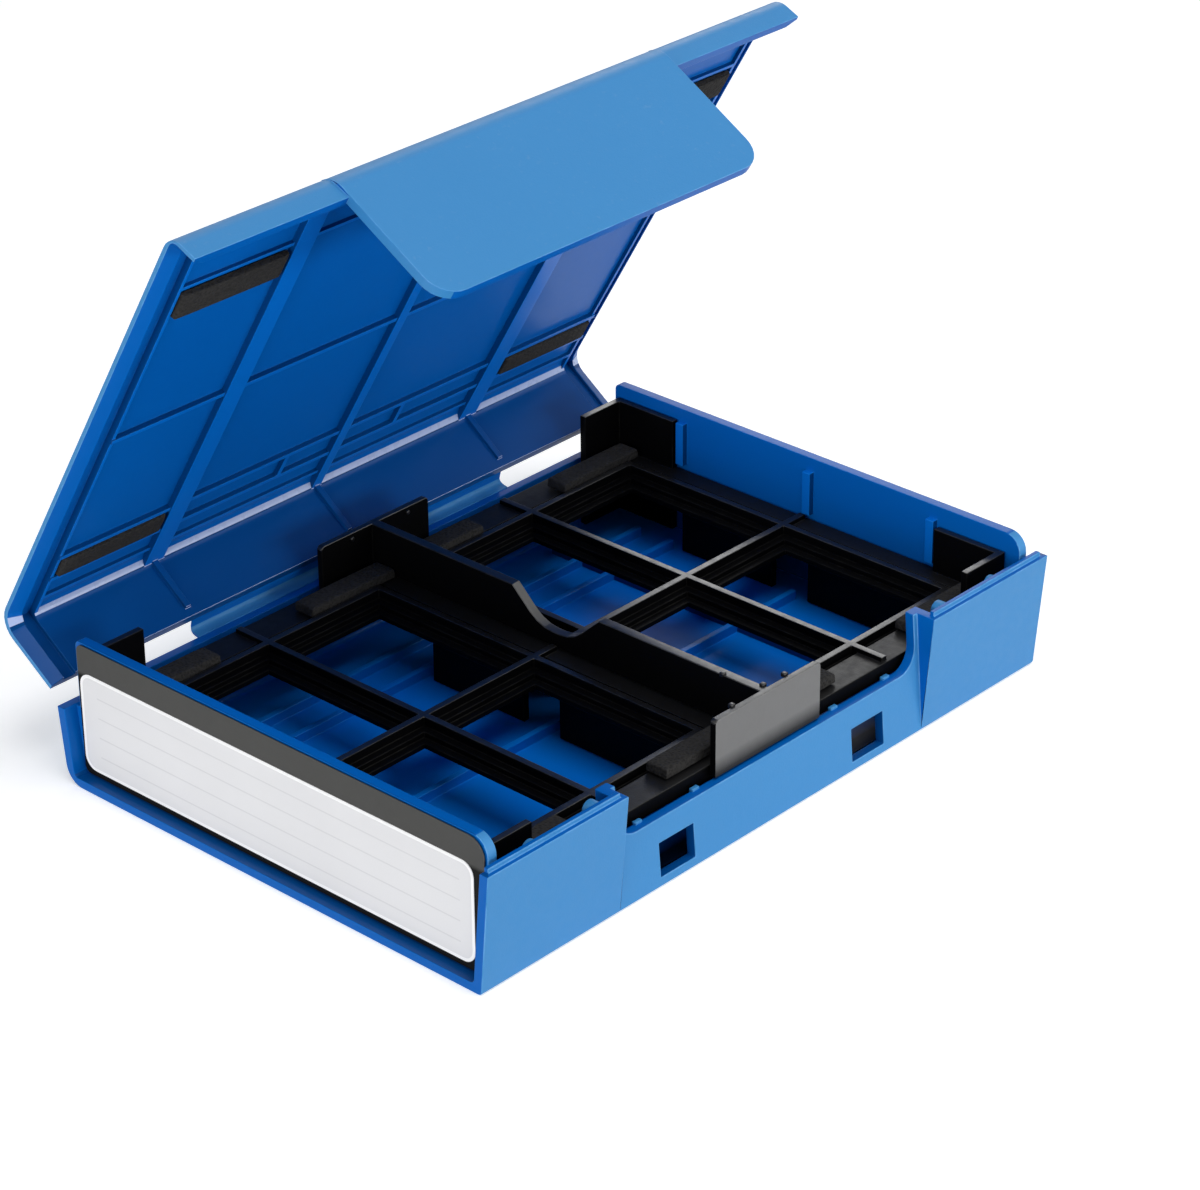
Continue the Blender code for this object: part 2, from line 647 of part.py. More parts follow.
def lid_hollow(thickness):
    """Outline of the space under the closed lid, for a lid of the given thickness."""
    return rounded([
        (BACK_TOP - thickness, SPINE_BOTTOM, 0),
        (LID_BACK - thickness, CLOSED_HEIGHT - thickness, LID_BACK_ROUND - thickness),
        (LID_FRONT + thickness, CLOSED_HEIGHT - thickness, LID_INNER_ROUND),
        (LIP_FRONT + thickness, LIP_BOTTOM, 0),
        (LIP_FRONT + thickness, LIP_BOTTOM - OVERRUN, 0),
        (BACK_TOP - thickness, SPINE_BOTTOM - OVERRUN, 0),
    ])


def bevel_rim(shell):
    """The inside of the lid slopes away at each end, so that its edge is thin."""
    slope = (WALL_THICKNESS - RIM_EDGE_THICKNESS) / (HALF_LENGTH - RIM_BEVEL_START)
    end = HALF_LENGTH + OVERRUN
    outer = lid_hollow(RIM_EDGE_THICKNESS - slope * OVERRUN)
    inner = lid_hollow(WALL_THICKNESS)
    for side in (-1, 1):
        cut(shell, loft("rim_bevel", inner, side * RIM_BEVEL_START, outer, side * end, "X"))


def cut_rim_grooves(shell):
    """The grooves in the lid and the spine that the tops of the end walls enter."""
    deep = RIM_GROOVE_DEPTH
    outline = [
        (BACK_TOP - WALL_THICKNESS + deep, SPINE_BOTTOM - OVERRUN),
        (BACK_TOP - WALL_THICKNESS + deep, SPINE_BOTTOM),
        (LID_BACK - WALL_THICKNESS + deep, LID_CEILING + deep),
        (LIP_FRONT + WALL_THICKNESS, LID_CEILING + deep),
        (LIP_FRONT + WALL_THICKNESS, SPINE_BOTTOM - OVERRUN),
    ]
    for side in (-1, 1):
        ends = sorted((side * (END_WALL_INSIDE - FIT_GAP), side * (END_WALL_OUTSIDE + FIT_GAP)))
        cut(shell, prism("rim_groove", outline, "X", *ends))


def cut_top_grooves(shell):
    """The broken grooves across the outside of the lid, in line with the sides of the flap."""
    half = TOP_GROOVE_WIDTH / 2
    depth = LID_BACK - LID_FRONT
    for side in (-1, 1):
        middle = side * (FLAP_HALF_WIDTH + half)
        for start, end in TOP_GROOVE_SHARES:
            cut(shell, box(
                "top_groove",
                (middle - half, middle + half),
                (LID_BACK - end * depth, LID_BACK - start * depth),
                (CLOSED_HEIGHT - TOP_GROOVE_DEPTH, CLOSED_HEIGHT + OVERRUN),
            ))


def make_lid_shell(material):
    shell = prism("lid_shell", lid_profile(), "X", -HALF_LENGTH, HALF_LENGTH)
    join(shell, flap())
    add_hooks(shell)
    add_lid_ribs(shell)
    cut_rim_grooves(shell)
    bevel_rim(shell)
    cut_top_grooves(shell)
    return finish(shell, material)


def make_living_hinge(material):
    """The thin strip between the back wall and the spine, in its place with the lid at rest."""
    turn = Matrix.Rotation(-REST_OPENING, 3, "X")
    spine = HINGE_AXIS + turn @ (Vector((0, BACK_TOP, SPINE_BOTTOM)) - HINGE_AXIS)
    up_spine = turn @ Vector((0, -SPINE_LEAN, CLOSED_HEIGHT - SPINE_BOTTOM)).normalized()
    into_spine = turn @ Vector((0, -(CLOSED_HEIGHT - SPINE_BOTTOM), -SPINE_LEAN)).normalized()
    start = Vector((0, BACK_TOP - HINGE_FILM / 2, BACK_HEIGHT + FIT_GAP))
    end = spine - up_spine * FIT_GAP + into_spine * HINGE_FILM / 2
    chord = end - start
    outward = Vector((0, chord.z, -chord.y)).normalized()
    facets = 2 * FINE_STEPS
    middles = []
    for index in range(facets + 1):
        share = index / facets
        middles.append(start + chord * share + outward * HINGE_BULGE * sin(pi * share))
    outline = []
    for side in (1, -1):
        walk = range(facets + 1) if side > 0 else range(facets, -1, -1)
        for index in walk:
            before = middles[max(index - 1, 0)]
            after = middles[min(index + 1, facets)]
            along = (after - before).normalized()
            across = Vector((0, along.z, -along.y)) * side * HINGE_FILM / 2
            point = middles[index] + across
            outline.append((point.y, point.z))
    strip = prism("living_hinge", outline, "X", -HINGE_HALF_WIDTH, HINGE_HALF_WIDTH)
    return finish(strip, material)


def bay_windows(margin):
    """The spans of the eight windows, each set in from the middles of the ribs round it."""
    spans = []
    for side in (-1, 1):
        for inner, outer in ((RING_INNER_PLACE, BAY_BAR_PLACE), (BAY_BAR_PLACE, RING_OUTER_PLACE)):
            x = sorted((side * (inner + margin), side * (outer - margin)))
            for low, high in ((RING_FRONT, CROSS_BAR_PLACE), (CROSS_BAR_PLACE, RING_BACK)):
                spans.append((x, (low + margin, high - margin)))
    return spans


def make_inner_tray(material):
    """The tray that drops in: two framed bays, a ledge round them and a post at each corner."""
    length = (-TRAY_HALF_LENGTH, TRAY_HALF_LENGTH)
    tray = box("inner_tray", length, (TRAY_FRONT, TRAY_BACK), (TRAY_BOTTOM, LEDGE_TOP))
    sunk = CHANNEL_WIDTH + RIB_WIDTH / 2
    frame_top = LEDGE_TOP - CHANNEL_DEPTH
    above = LEDGE_TOP + OVERRUN
    for side in (-1, 1):
        x = sorted((side * (RING_INNER_PLACE - sunk), side * (RING_OUTER_PLACE + sunk)))
        cut(tray, box("bay", x, (RING_FRONT - sunk, RING_BACK + sunk), (frame_top, above)))
    step_margin = RIB_WIDTH / 2 + FRAME_STEP_WIDTH
    for x, y in bay_windows(step_margin):
        cut(tray, box("frame_step", x, y, (frame_top - FRAME_STEP_DEPTH, above)))
    for x, y in bay_windows(step_margin + FRAME_STEP_WIDTH):
        cut(tray, box("window", x, y, (TRAY_BOTTOM - OVERRUN, above)))
    add_tray_ribs(tray)
    add_skirts(tray)
    add_corner_posts(tray)
    cut_divider_seats(tray)
    return finish(tray, material)


def add_tray_ribs(tray):
    """The thin standing ribs: a ring round each bay and a cross in it, with short stubs."""
    half = RIB_WIDTH / 2
    heights = (TRAY_BOTTOM + WELD_DEPTH, RIB_TOP)
    stub_front = TRAY_FRONT + STUB_MARGIN
    stub_back = TRAY_BACK - STUB_MARGIN
    divider_side = DIVIDER_THICKNESS / 2 + FIT_GAP
    for side in (-1, 1):
        ring = sorted((side * (RING_INNER_PLACE - half), side * (RING_OUTER_PLACE + half)))
        for place in (RING_FRONT, RING_BACK):
            join(tray, box("rib", ring, (place - half, place + half), heights))
        bar = sorted((side * divider_side, side * (TRAY_HALF_LENGTH - STUB_MARGIN)))
        join(tray, box("rib", bar, (CROSS_BAR_PLACE - half, CROSS_BAR_PLACE + half), heights))
        for place, low, high in (
            (RING_INNER_PLACE, RING_FRONT - half, RING_BACK + half),
            (RING_OUTER_PLACE, RING_FRONT - half, RING_BACK + half),
            (BAY_BAR_PLACE, stub_front, stub_back),
        ):
            middle = side * place
            join(tray, box("rib", (middle - half, middle + half), (low, high), heights))


def add_skirts(tray):
    """Walls under the long ribs of the rings, with gaps for the ribs of the floor."""
    half = RIB_WIDTH / 2
    heights = (FLOOR_THICKNESS + FIT_GAP, TRAY_BOTTOM + WELD_DEPTH)
    back_rib = HALF_DEPTH - FLOOR_RIB_BACK_SETBACKS[0]
    spans = (
        (RING_FRONT, FLOOR_RIB_MIDDLE_PLACE - SKIRT_GAP_BEFORE_MIDDLE_RIB),
        (FLOOR_RIB_MIDDLE_PLACE + SKIRT_GAP_AFTER_MIDDLE_RIB, back_rib - SKIRT_GAP_BEFORE_BACK_RIB),
    )
    for side in (-1, 1):
        for place in (RING_INNER_PLACE, RING_OUTER_PLACE):
            middle = side * place
            for span in spans:
                join(tray, box("skirt", (middle - half, middle + half), span, heights))


def add_corner_posts(tray):
    """L-shaped posts that stand on the floor and rise past the ledge."""
    heights = (FLOOR_THICKNESS + FIT_GAP, CORNER_POST_TOP)
    for side in (-1, 1):
        for edge, inward in ((TRAY_FRONT, 1), (TRAY_BACK, -1)):
            outer = side * TRAY_HALF_LENGTH
            inner = side * (TRAY_HALF_LENGTH - CORNER_POST_LENGTH)
            thin = side * (TRAY_HALF_LENGTH - CORNER_POST_WALL)
            far = edge + inward * CORNER_POST_WIDTH
            near = edge + inward * CORNER_POST_WALL
            outline = [
                (outer, edge),
                (inner, edge),
                (inner, near),
                (thin, near),
                (thin, far),
                (outer, far),
            ]
            join(tray, prism("corner_post", outline, "Z", *heights))


def cut_divider_seats(tray):
    """The front and back edges are cut away where the divider's end plates stand."""
    half = DIVIDER_PLATE_HALF_WIDTH + FIT_GAP
    heights = (TRAY_BOTTOM - OVERRUN, LEDGE_TOP + OVERRUN)
    front = DIVIDER_FRONT + DIVIDER_PLATE_THICKNESS + FIT_GAP
    back = TRAY_BACK - DIVIDER_PLATE_THICKNESS - FIT_GAP
    cut(tray, box("seat", (-half, half), (TRAY_FRONT - OVERRUN, front), heights))
    cut(tray, box("seat", (-half, half), (back, TRAY_BACK + OVERRUN), heights))


def make_tray_divider(material):
    """The wall between the bays, with a finger notch and a plate across each end."""
    bottom = LEDGE_TOP + FIT_GAP
    notch_floor = LEDGE_TOP + NOTCH_SILL
    wide = NOTCH_TOP_WIDTH / 2
    narrow = NOTCH_BOTTOM_WIDTH / 2
    front = DIVIDER_FRONT + DIVIDER_PLATE_THICKNESS / 2
    back = TRAY_BACK - DIVIDER_PLATE_THICKNESS / 2
    outline = rounded([
        (front, bottom, 0),
        (back, bottom, 0),
        (back, DIVIDER_TOP, 0),
        (NOTCH_MIDDLE + wide, DIVIDER_TOP, 0),
        (NOTCH_MIDDLE + narrow, notch_floor, NOTCH_ROUND),
        (NOTCH_MIDDLE - narrow, notch_floor, NOTCH_ROUND),
        (NOTCH_MIDDLE - wide, DIVIDER_TOP, 0),
        (front, DIVIDER_TOP, 0),
    ])
    half = DIVIDER_THICKNESS / 2
    divider = prism("tray_divider", outline, "X", -half, half)
    half = DIVIDER_PLATE_HALF_WIDTH
    plate = rounded([
        (-half, DIVIDER_PLATE_BOTTOM, 0),
        (half, DIVIDER_PLATE_BOTTOM, 0),
        (half, DIVIDER_TOP, DIVIDER_PLATE_ROUND),
        (-half, DIVIDER_TOP, DIVIDER_PLATE_ROUND),
    ], COARSE_STEPS)
    join(divider, prism("plate", plate, "Y", DIVIDER_FRONT, DIVIDER_FRONT + DIVIDER_PLATE_THICKNESS))
    join(divider, prism("plate", plate, "Y", TRAY_BACK - DIVIDER_PLATE_THICKNESS, TRAY_BACK))
    return finish(divider, material)


def foam_block(name, x, y, z, material):
    return finish(box(name, x, y, z), material, PAD_EDGE)


def make_tray_pads(material):
    """Eight foam pads on the ledge, one at each corner of each bay."""
    heights = (LEDGE_TOP + FIT_GAP, LEDGE_TOP + TRAY_PAD_HEIGHT)
    inner_start = DIVIDER_THICKNESS / 2 + FIT_GAP
    outer_end = TRAY_HALF_LENGTH - CORNER_POST_WALL - TRAY_PAD_END_MARGIN
    plate = DIVIDER_PLATE_THICKNESS + FIT_GAP + FIT_GAP
    back_edge = TRAY_BACK - plate - TRAY_PAD_BACK_MARGIN
    rows = {
        "front": (TRAY_FRONT + plate, TRAY_FRONT + plate + TRAY_PAD_WIDTH),
        "back": (back_edge - TRAY_PAD_WIDTH, back_edge),
    }
    spans = {
        "inner": (inner_start, inner_start + TRAY_PAD_LENGTH),
        "outer": (outer_end - TRAY_PAD_LENGTH, outer_end),
    }
    for bay, side in (("left", -1), ("right", 1)):
        for place, span in spans.items():
            for row, y in rows.items():
                x = sorted((side * span[0], side * span[1]))
                foam_block(f"tray_pad_{bay}_{row}_{place}", x, y, heights, material)


def make_lid_pads(material):
    """Four foam pads in the outer columns of the lid, the back ones between two ribs."""
    heights = (LID_CEILING - LID_PAD_HEIGHT - FIT_GAP, LID_CEILING - FIT_GAP)
    beside_rib = CROSS_RIB_WIDTH / 2 + FIT_GAP
    back_row = (
        LID_BACK - CROSS_RIB_PLACES[1] + beside_rib,
        LID_BACK - CROSS_RIB_PLACES[0] - beside_rib,
    )
    border = LID_FRONT + LID_BORDER_FRONT_SETBACK + LID_BORDER_WIDTH / 2
    front_edge = border + LID_PAD_FRONT_MARGIN
    start = LID_LONG_RIB_PLACE + LID_SIDE_RIB_WIDTH / 2 + LID_PAD_RIB_MARGIN
    end = END_WALL_INSIDE - FIT_GAP - RIM_RIDGE_WIDTH - LID_PAD_RIDGE_MARGIN
    pads = []
    for bay, side in (("left", -1), ("right", 1)):
        x = sorted((side * start, side * end))
        for row, y in (
            ("front", (front_edge, front_edge + LID_PAD_WIDTH)),
            ("back", back_row),
        ):
            pads.append(foam_block(f"lid_pad_{bay}_{row}", x, y, heights, material))
    return pads


def make_label(material):
    """The label on the outside of the end wall at the -X end."""
    margin = LABEL_MARGIN
    bottom = FLOOR_THICKNESS + margin
    front = LIP_FRONT + WALL_THICKNESS + RUNNING_GAP + margin
    back = LID_BACK - WALL_THICKNESS - margin
    outline = rounded([
        (panel_face(bottom) + WALL_THICKNESS + margin, bottom, LABEL_ROUND),
        (back_face(bottom) - WALL_THICKNESS - margin, bottom, LABEL_ROUND),
        (back, END_WALL_HEIGHT - margin, LABEL_ROUND),
        (front, END_WALL_HEIGHT - margin, END_WALL_FRONT_ROUND),
    ], COARSE_STEPS)
    near = -END_WALL_OUTSIDE - FIT_GAP
    return finish(prism("index_label", outline, "X", near - LABEL_THICKNESS, near), material)


def hang_on_hinge(items):
    """Put the lid's pieces on the hinge axis and turn them from closed to the rest opening."""
    hinge = bpy.data.objects.new("lid_hinge", None)
    bpy.context.scene.collection.objects.link(hinge)
    hinge.location = HINGE_AXIS
    hinge.rotation_euler = (-REST_OPENING, 0, 0)
    for item in items:
        item.data.transform(Matrix.Translation(-HINGE_AXIS))
        item.parent = hinge


def main():
    clear_scene()
    blue = plastic("blue polypropylene", (0.030, 0.235, 0.560), 0.42)
    deep_blue = plastic("blue polypropylene lid", (0.030, 0.235, 0.560), 0.42)
    film_blue = plastic("blue hinge film", (0.050, 0.290, 0.620), 0.35)
    black = plastic("black tray plastic", (0.012, 0.012, 0.013), 0.45)
    divider_black = plastic("black divider plastic", (0.014, 0.014, 0.015), 0.45)
    foam = plastic("dark foam", (0.030, 0.028, 0.026), 0.95)
    paper = plastic("label paper", (0.80, 0.80, 0.80), 0.60)
    make_base_shell(blue)
    make_living_hinge(film_blue)
    lid = make_lid_shell(deep_blue)
    make_inner_tray(black)
    make_tray_divider(divider_black)
    make_tray_pads(foam)
    hang_on_hinge([lid] + make_lid_pads(foam))
    make_label(paper)


main()
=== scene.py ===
# %% [markdown]
# # A hard drive case, standing open
#
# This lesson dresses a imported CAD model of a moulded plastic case: a blue base and lid, joined by
# a thin strip of the same plastic, a black tray with a divider, foam pads and a label.
# The CAD model gives every size and place. The lesson adds soft edges, small stops, foam, paper
# and finishes. We load the model first, because every new piece takes its place from it. All
# lengths are in metres.

# %% Load the CAD model
import json
from math import cos, pi, radians, sin

import bmesh
import bpy
from mathutils import Matrix, Vector


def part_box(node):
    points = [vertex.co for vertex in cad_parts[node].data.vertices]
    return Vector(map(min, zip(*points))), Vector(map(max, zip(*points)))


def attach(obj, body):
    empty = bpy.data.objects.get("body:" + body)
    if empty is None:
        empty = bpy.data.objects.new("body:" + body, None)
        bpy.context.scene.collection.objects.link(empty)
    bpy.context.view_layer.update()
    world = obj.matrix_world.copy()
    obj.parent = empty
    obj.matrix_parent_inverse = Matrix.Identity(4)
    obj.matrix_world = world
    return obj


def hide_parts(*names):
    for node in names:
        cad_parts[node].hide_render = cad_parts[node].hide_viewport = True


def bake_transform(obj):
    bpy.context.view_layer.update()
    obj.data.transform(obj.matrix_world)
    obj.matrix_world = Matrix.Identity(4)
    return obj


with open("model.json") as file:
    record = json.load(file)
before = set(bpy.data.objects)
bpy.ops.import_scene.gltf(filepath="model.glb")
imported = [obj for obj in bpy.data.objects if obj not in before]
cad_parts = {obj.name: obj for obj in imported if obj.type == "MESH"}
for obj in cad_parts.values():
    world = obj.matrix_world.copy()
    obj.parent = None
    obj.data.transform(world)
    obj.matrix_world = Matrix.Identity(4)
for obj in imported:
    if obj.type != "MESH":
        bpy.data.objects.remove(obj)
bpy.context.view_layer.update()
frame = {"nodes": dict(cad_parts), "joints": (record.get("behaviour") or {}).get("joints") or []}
scene = bpy.context.scene
print("nodes:", len(frame["nodes"]))

# %% [markdown]
# ## The camera
#
# The case is seen from its left front corner, from above, through a long lens. The place, the
# angles and the lens were worked out from the straight edges of the real case, so the camera is
# built from those numbers instead of being aimed by eye.

# %% Camera
CAMERA_PLACE = Vector((-0.5120, -0.4815, 0.4065))
CAMERA_AZIMUTH = radians(-47.40)
CAMERA_ELEVATION = radians(28.21)
CAMERA_ROLL = -0.00759
LENS_MM = 117.99
CLIP_NEAR, CLIP_FAR = 0.01, 20.0


def camera_axes():
    """The camera's right, up and back directions."""
    back = Vector((
        sin(CAMERA_AZIMUTH) * cos(CAMERA_ELEVATION),
        -cos(CAMERA_AZIMUTH) * cos(CAMERA_ELEVATION),
        sin(CAMERA_ELEVATION),
    ))
    right = Vector((cos(CAMERA_AZIMUTH), sin(CAMERA_AZIMUTH), 0))
    up = back.cross(right)
    turned_right = right * cos(CAMERA_ROLL) + up * sin(CAMERA_ROLL)
    turned_up = up * cos(CAMERA_ROLL) - right * sin(CAMERA_ROLL)
    return turned_right, turned_up, back


def make_camera():
    data = bpy.data.cameras.new("camera")
    data.lens = LENS_MM
    data.clip_start, data.clip_end = CLIP_NEAR, CLIP_FAR
    camera = bpy.data.objects.new("camera", data)
    place = Matrix(camera_axes()).transposed().to_4x4()
    place.translation = CAMERA_PLACE
    camera.matrix_world = place
    scene.collection.objects.link(camera)
    scene.camera = camera
    return camera


camera = make_camera()
print("camera at", tuple(round(c, 3) for c in camera.location))

# %% [markdown]
# ## Floor, backdrop and lamps
#
# Product pictures are taken in a white room with large soft lamps. The floor is a wide white
# plane, which keeps the shadow of the case. Where floor and room are seen, straight or in a
# reflection, the floor also glows a little and the room is plain white, so that the background
# comes out white. As a lamp the room is much dimmer, and the lamps stay at a level where a colour
# renders about as it is written.

# %% Helpers for nodes and pieces


def add_node(tree, kind, **settings):
    """Add a shader node and set its properties by name."""
    node = tree.nodes.new(kind)
    for name, value in settings.items():
        setattr(node, name, value)
    return node


def maths(tree, operation, *values):
    """A Math node of sockets or numbers. Returns its result."""
    node = add_node(tree, "ShaderNodeMath", operation=operation)
    for socket, value in zip(node.inputs, values):
        if isinstance(value, (int, float)):
            socket.default_value = value
        else:
            tree.links.new(value, socket)
    return node.outputs[0]


def seen_by_camera(tree):
    """1 where the camera looks, straight, in a reflection or through glass, and 0 for light."""
    path = add_node(tree, "ShaderNodeLightPath").outputs
    seen = maths(tree, "MAXIMUM", path["Is Camera Ray"], path["Is Glossy Ray"])
    return maths(tree, "MAXIMUM", seen, path["Is Transmission Ray"])


def add_piece(name, shape):
    """Turn a bmesh into an object of the scene."""
    mesh = bpy.data.meshes.new(name)
    shape.to_mesh(mesh)
    shape.free()
    piece = bpy.data.objects.new(name, mesh)
    scene.collection.objects.link(piece)
    return piece


# %% Floor
FLOOR_REACH = 6.0
FLOOR_COLOUR = (0.86, 0.86, 0.86, 1.0)
FLOOR_GLOW = 0.45


def make_floor():
    shape = bmesh.new()
    bmesh.ops.create_grid(shape, x_segments=1, y_segments=1, size=FLOOR_REACH)
    floor = add_piece("studio_floor", shape)
    material = bpy.data.materials.new("white floor")
    material.use_nodes = True
    tree = material.node_tree
    tree.nodes.clear()
    matt = add_node(tree, "ShaderNodeBsdfDiffuse")
    matt.inputs["Color"].default_value = FLOOR_COLOUR
    glow = add_node(tree, "ShaderNodeEmission")
    level = maths(tree, "MULTIPLY", seen_by_camera(tree), FLOOR_GLOW)
    both = add_node(tree, "ShaderNodeAddShader")
    out = add_node(tree, "ShaderNodeOutputMaterial")
    tree.links.new(level, glow.inputs["Strength"])
    tree.links.new(matt.outputs[0], both.inputs[0])
    tree.links.new(glow.outputs[0], both.inputs[1])
    tree.links.new(both.outputs[0], out.inputs["Surface"])
    floor.data.materials.append(material)
    return floor


floor = make_floor()
print("floor:", tuple(floor.dimensions))

# %% World
WORLD_COLOUR = (0.93, 0.95, 1.0, 1.0)
WORLD_LEVEL = 0.22
BACKDROP_COLOUR = (1.0, 1.0, 1.0, 1.0)
BACKDROP_LEVEL = 1.0


def add_background(tree, colour, level):
    background = add_node(tree, "ShaderNodeBackground")
    background.inputs["Color"].default_value = colour
    background.inputs["Strength"].default_value = level
    return background.outputs[0]


def make_world():
    world = bpy.data.worlds.new("white room")
    world.use_nodes = True
    scene.world = world
    tree = world.node_tree
    tree.nodes.clear()
    either = add_node(tree, "ShaderNodeMixShader")
    out = add_node(tree, "ShaderNodeOutputWorld")
    tree.links.new(seen_by_camera(tree), either.inputs[0])
    tree.links.new(add_background(tree, WORLD_COLOUR, WORLD_LEVEL), either.inputs[1])
    tree.links.new(add_background(tree, BACKDROP_COLOUR, BACKDROP_LEVEL), either.inputs[2])
    tree.links.new(either.outputs[0], out.inputs["Surface"])


make_world()
print("world:", scene.world.name)

# %% Lamps
CASE_MIDDLE = Vector((0.0, 0.0, 0.05))
LAMPS = {
    "top": ((-0.05, -0.42, 1.20), (0.9, 0.6), 7.6),
    "low front": ((0.25, -1.20, 0.16), (1.0, 0.26), 6.9),
    "low left": ((-1.30, -0.15, 0.18), (0.8, 0.30), 9.0),
    "fold strip": ((0.85, -0.75, 0.60), (0.25, 0.50), 2.0),
    "rim": ((0.98, 0.72, 0.60), (0.34, 0.40), 1.8),
}


def make_lamp(name, place, size, power):
    """A soft box of white light that looks at the middle of the case."""
    data = bpy.data.lights.new(name, "AREA")
    data.shape = "RECTANGLE"
    data.size, data.size_y = size
    data.energy = power
    lamp = bpy.data.objects.new(name, data)
    lamp.location = place
    towards = CASE_MIDDLE - Vector(place)
    lamp.rotation_euler = towards.to_track_quat("-Z", "Y").to_euler()
    scene.collection.objects.link(lamp)


for lamp_name, (lamp_place, lamp_size, lamp_power) in LAMPS.items():
    make_lamp(lamp_name, lamp_place, lamp_size, lamp_power)
scene.view_settings.view_transform = "Standard"
print("lamps:", len(LAMPS))

# %% [markdown]
# ## Shared effects
#
# Moulded plastic isn't one flat colour. It has a fine grain from the mould, faint clouds where
# the melt cooled, paler worn edges and a little dust on what faces up. Each effect is a node
# group, built once, that every finish uses with values of its own.

# %% Helpers for node groups


def new_group(name, inputs, outputs):
    """A node group of plain values. Returns the group and its input and output nodes."""
    group = bpy.data.node_groups.new(name, "ShaderNodeTree")
    for label, value in inputs.items():
        socket = group.interface.new_socket(label, in_out="INPUT", socket_type="NodeSocketFloat")
        socket.default_value = value
    for label in outputs:
        group.interface.new_socket(label, in_out="OUTPUT", socket_type="NodeSocketFloat")
    start = add_node(group, "NodeGroupInput")
    end = add_node(group, "NodeGroupOutput")
    return group, start, end


def spread(tree, value, low, high):
    """Stretch the range low to high of a value to 0 to 1."""
    node = add_node(tree, "ShaderNodeMapRange")
    node.inputs["From Min"].default_value = low
    node.inputs["From Max"].default_value = high
    tree.links.new(value, node.inputs["Value"])
    return node.outputs["Result"]


def object_place(tree):
    """The point of the surface in the space of its object."""
    return add_node(tree, "ShaderNodeTexCoord").outputs["Object"]


def noise_field(tree, place, scale, detail):
    node = add_node(tree, "ShaderNodeTexNoise")
    node.inputs["Scale"].default_value = scale
    node.inputs["Detail"].default_value = detail
    tree.links.new(place, node.inputs["Vector"])
    return node.outputs["Fac"]


# %% Mould grain
GRAIN_SCALE, SPECKLE_SCALE, CLOUD_SCALE = 2600.0, 520.0, 22.0
CLOUD_RANGE = (0.30, 0.70)
SPECKLE_RANGE = (0.35, 0.75)


def make_grain_group():
    """Fine grain of the mould's surface, faint clouds in the colour and uneven roughness."""
    group, start, end = new_group(
        "mould grain", {"Roughness": 0.4, "Speckle": 0.1}, ("Height", "Cloud", "Roughness"),
    )
    place = object_place(group)
    fine = noise_field(group, place, GRAIN_SCALE, detail=3.0)
    cloud = noise_field(group, place, CLOUD_SCALE, detail=3.0)
    speckle = spread(group, noise_field(group, place, SPECKLE_SCALE, detail=4.0), *SPECKLE_RANGE)
    rough = maths(
        group, "MULTIPLY_ADD", speckle, start.outputs["Speckle"], start.outputs["Roughness"],
    )
    group.links.new(fine, end.inputs["Height"])
    group.links.new(spread(group, cloud, *CLOUD_RANGE), end.inputs["Cloud"])
    group.links.new(rough, end.inputs["Roughness"])
    return group


GRAIN = make_grain_group()
print("effect:", GRAIN.name)

# %% Edge wear
WEAR_SCALE = 260.0
WEAR_RANGE = (0.35, 0.70)


def make_wear_group():
    """Paler, rubbed patches on the softened edges, which carry the attribute edge."""
    group, start, end = new_group("edge wear", {"Amount": 0.5}, ("Mask",))
    edge = add_node(group, "ShaderNodeAttribute", attribute_name="edge")
    noise = noise_field(group, object_place(group), WEAR_SCALE, detail=4.0)
    rubbed = maths(group, "MULTIPLY", edge.outputs["Fac"], spread(group, noise, *WEAR_RANGE))
    group.links.new(maths(group, "MULTIPLY", rubbed, start.outputs["Amount"]), end.inputs["Mask"])
    return group


WEAR = make_wear_group()
print("effect:", WEAR.name)

# %% Dust
SPECK_SCALE, PATCH_SCALE = 900.0, 44.0
SPECK_RANGE = (0.62, 0.80)
PATCH_RANGE = (0.35, 0.65)
UPWARD_RANGE = (0.2, 0.9)


def make_dust_group():
    """Specks of dust, in patches, on the faces that look up."""
    group, start, end = new_group("dust", {"Amount": 0.3}, ("Mask",))
    place = object_place(group)
    specks = spread(group, noise_field(group, place, SPECK_SCALE, detail=5.0), *SPECK_RANGE)
    patches = spread(group, noise_field(group, place, PATCH_SCALE, detail=2.0), *PATCH_RANGE)
    facing = add_node(group, "ShaderNodeSeparateXYZ")
    normal = add_node(group, "ShaderNodeNewGeometry")
    group.links.new(normal.outputs["Normal"], facing.inputs[0])
    up = spread(group, facing.outputs["Z"], *UPWARD_RANGE)
    lying = maths(group, "MULTIPLY", maths(group, "MULTIPLY", specks, patches), up)
    group.links.new(maths(group, "MULTIPLY", lying, start.outputs["Amount"]), end.inputs["Mask"])
    return group


DUST = make_dust_group()
print("effect:", DUST.name)

# %% [markdown]
# ## Plastic finishes
#
# One function makes every plastic of the case. It mixes a base colour with a slightly different
# cloud colour, adds the worn edges and the dust on top, and lets grain and dust change the
# roughness. The outside of the case has the mould's matt texture and the inside is polished, so
# these are two finishes of the same blue. Light and shade are painted into the inside's blue: it
# comes at several levels, one for each kind of face, lighter where a face is lit or mirrors the
# light and darker where it lies in shade.

# %% Helpers for finishes


def start_finish(name, specular):
    """A new material. Returns it with its node tree and its shader."""
    material = bpy.data.materials.new(name)
    material.use_nodes = True
    tree = material.node_tree
    shader = tree.nodes["Principled BSDF"]
    shader.inputs["Specular IOR Level"].default_value = specular
    return material, tree, shader


def place_group(tree, group, **values):
    """Place an effect in a finish with values of its own. Returns what it puts out."""
    node = add_node(tree, "ShaderNodeGroup", node_tree=group)
    for label, value in values.items():
        node.inputs[label].default_value = value
    return node.outputs


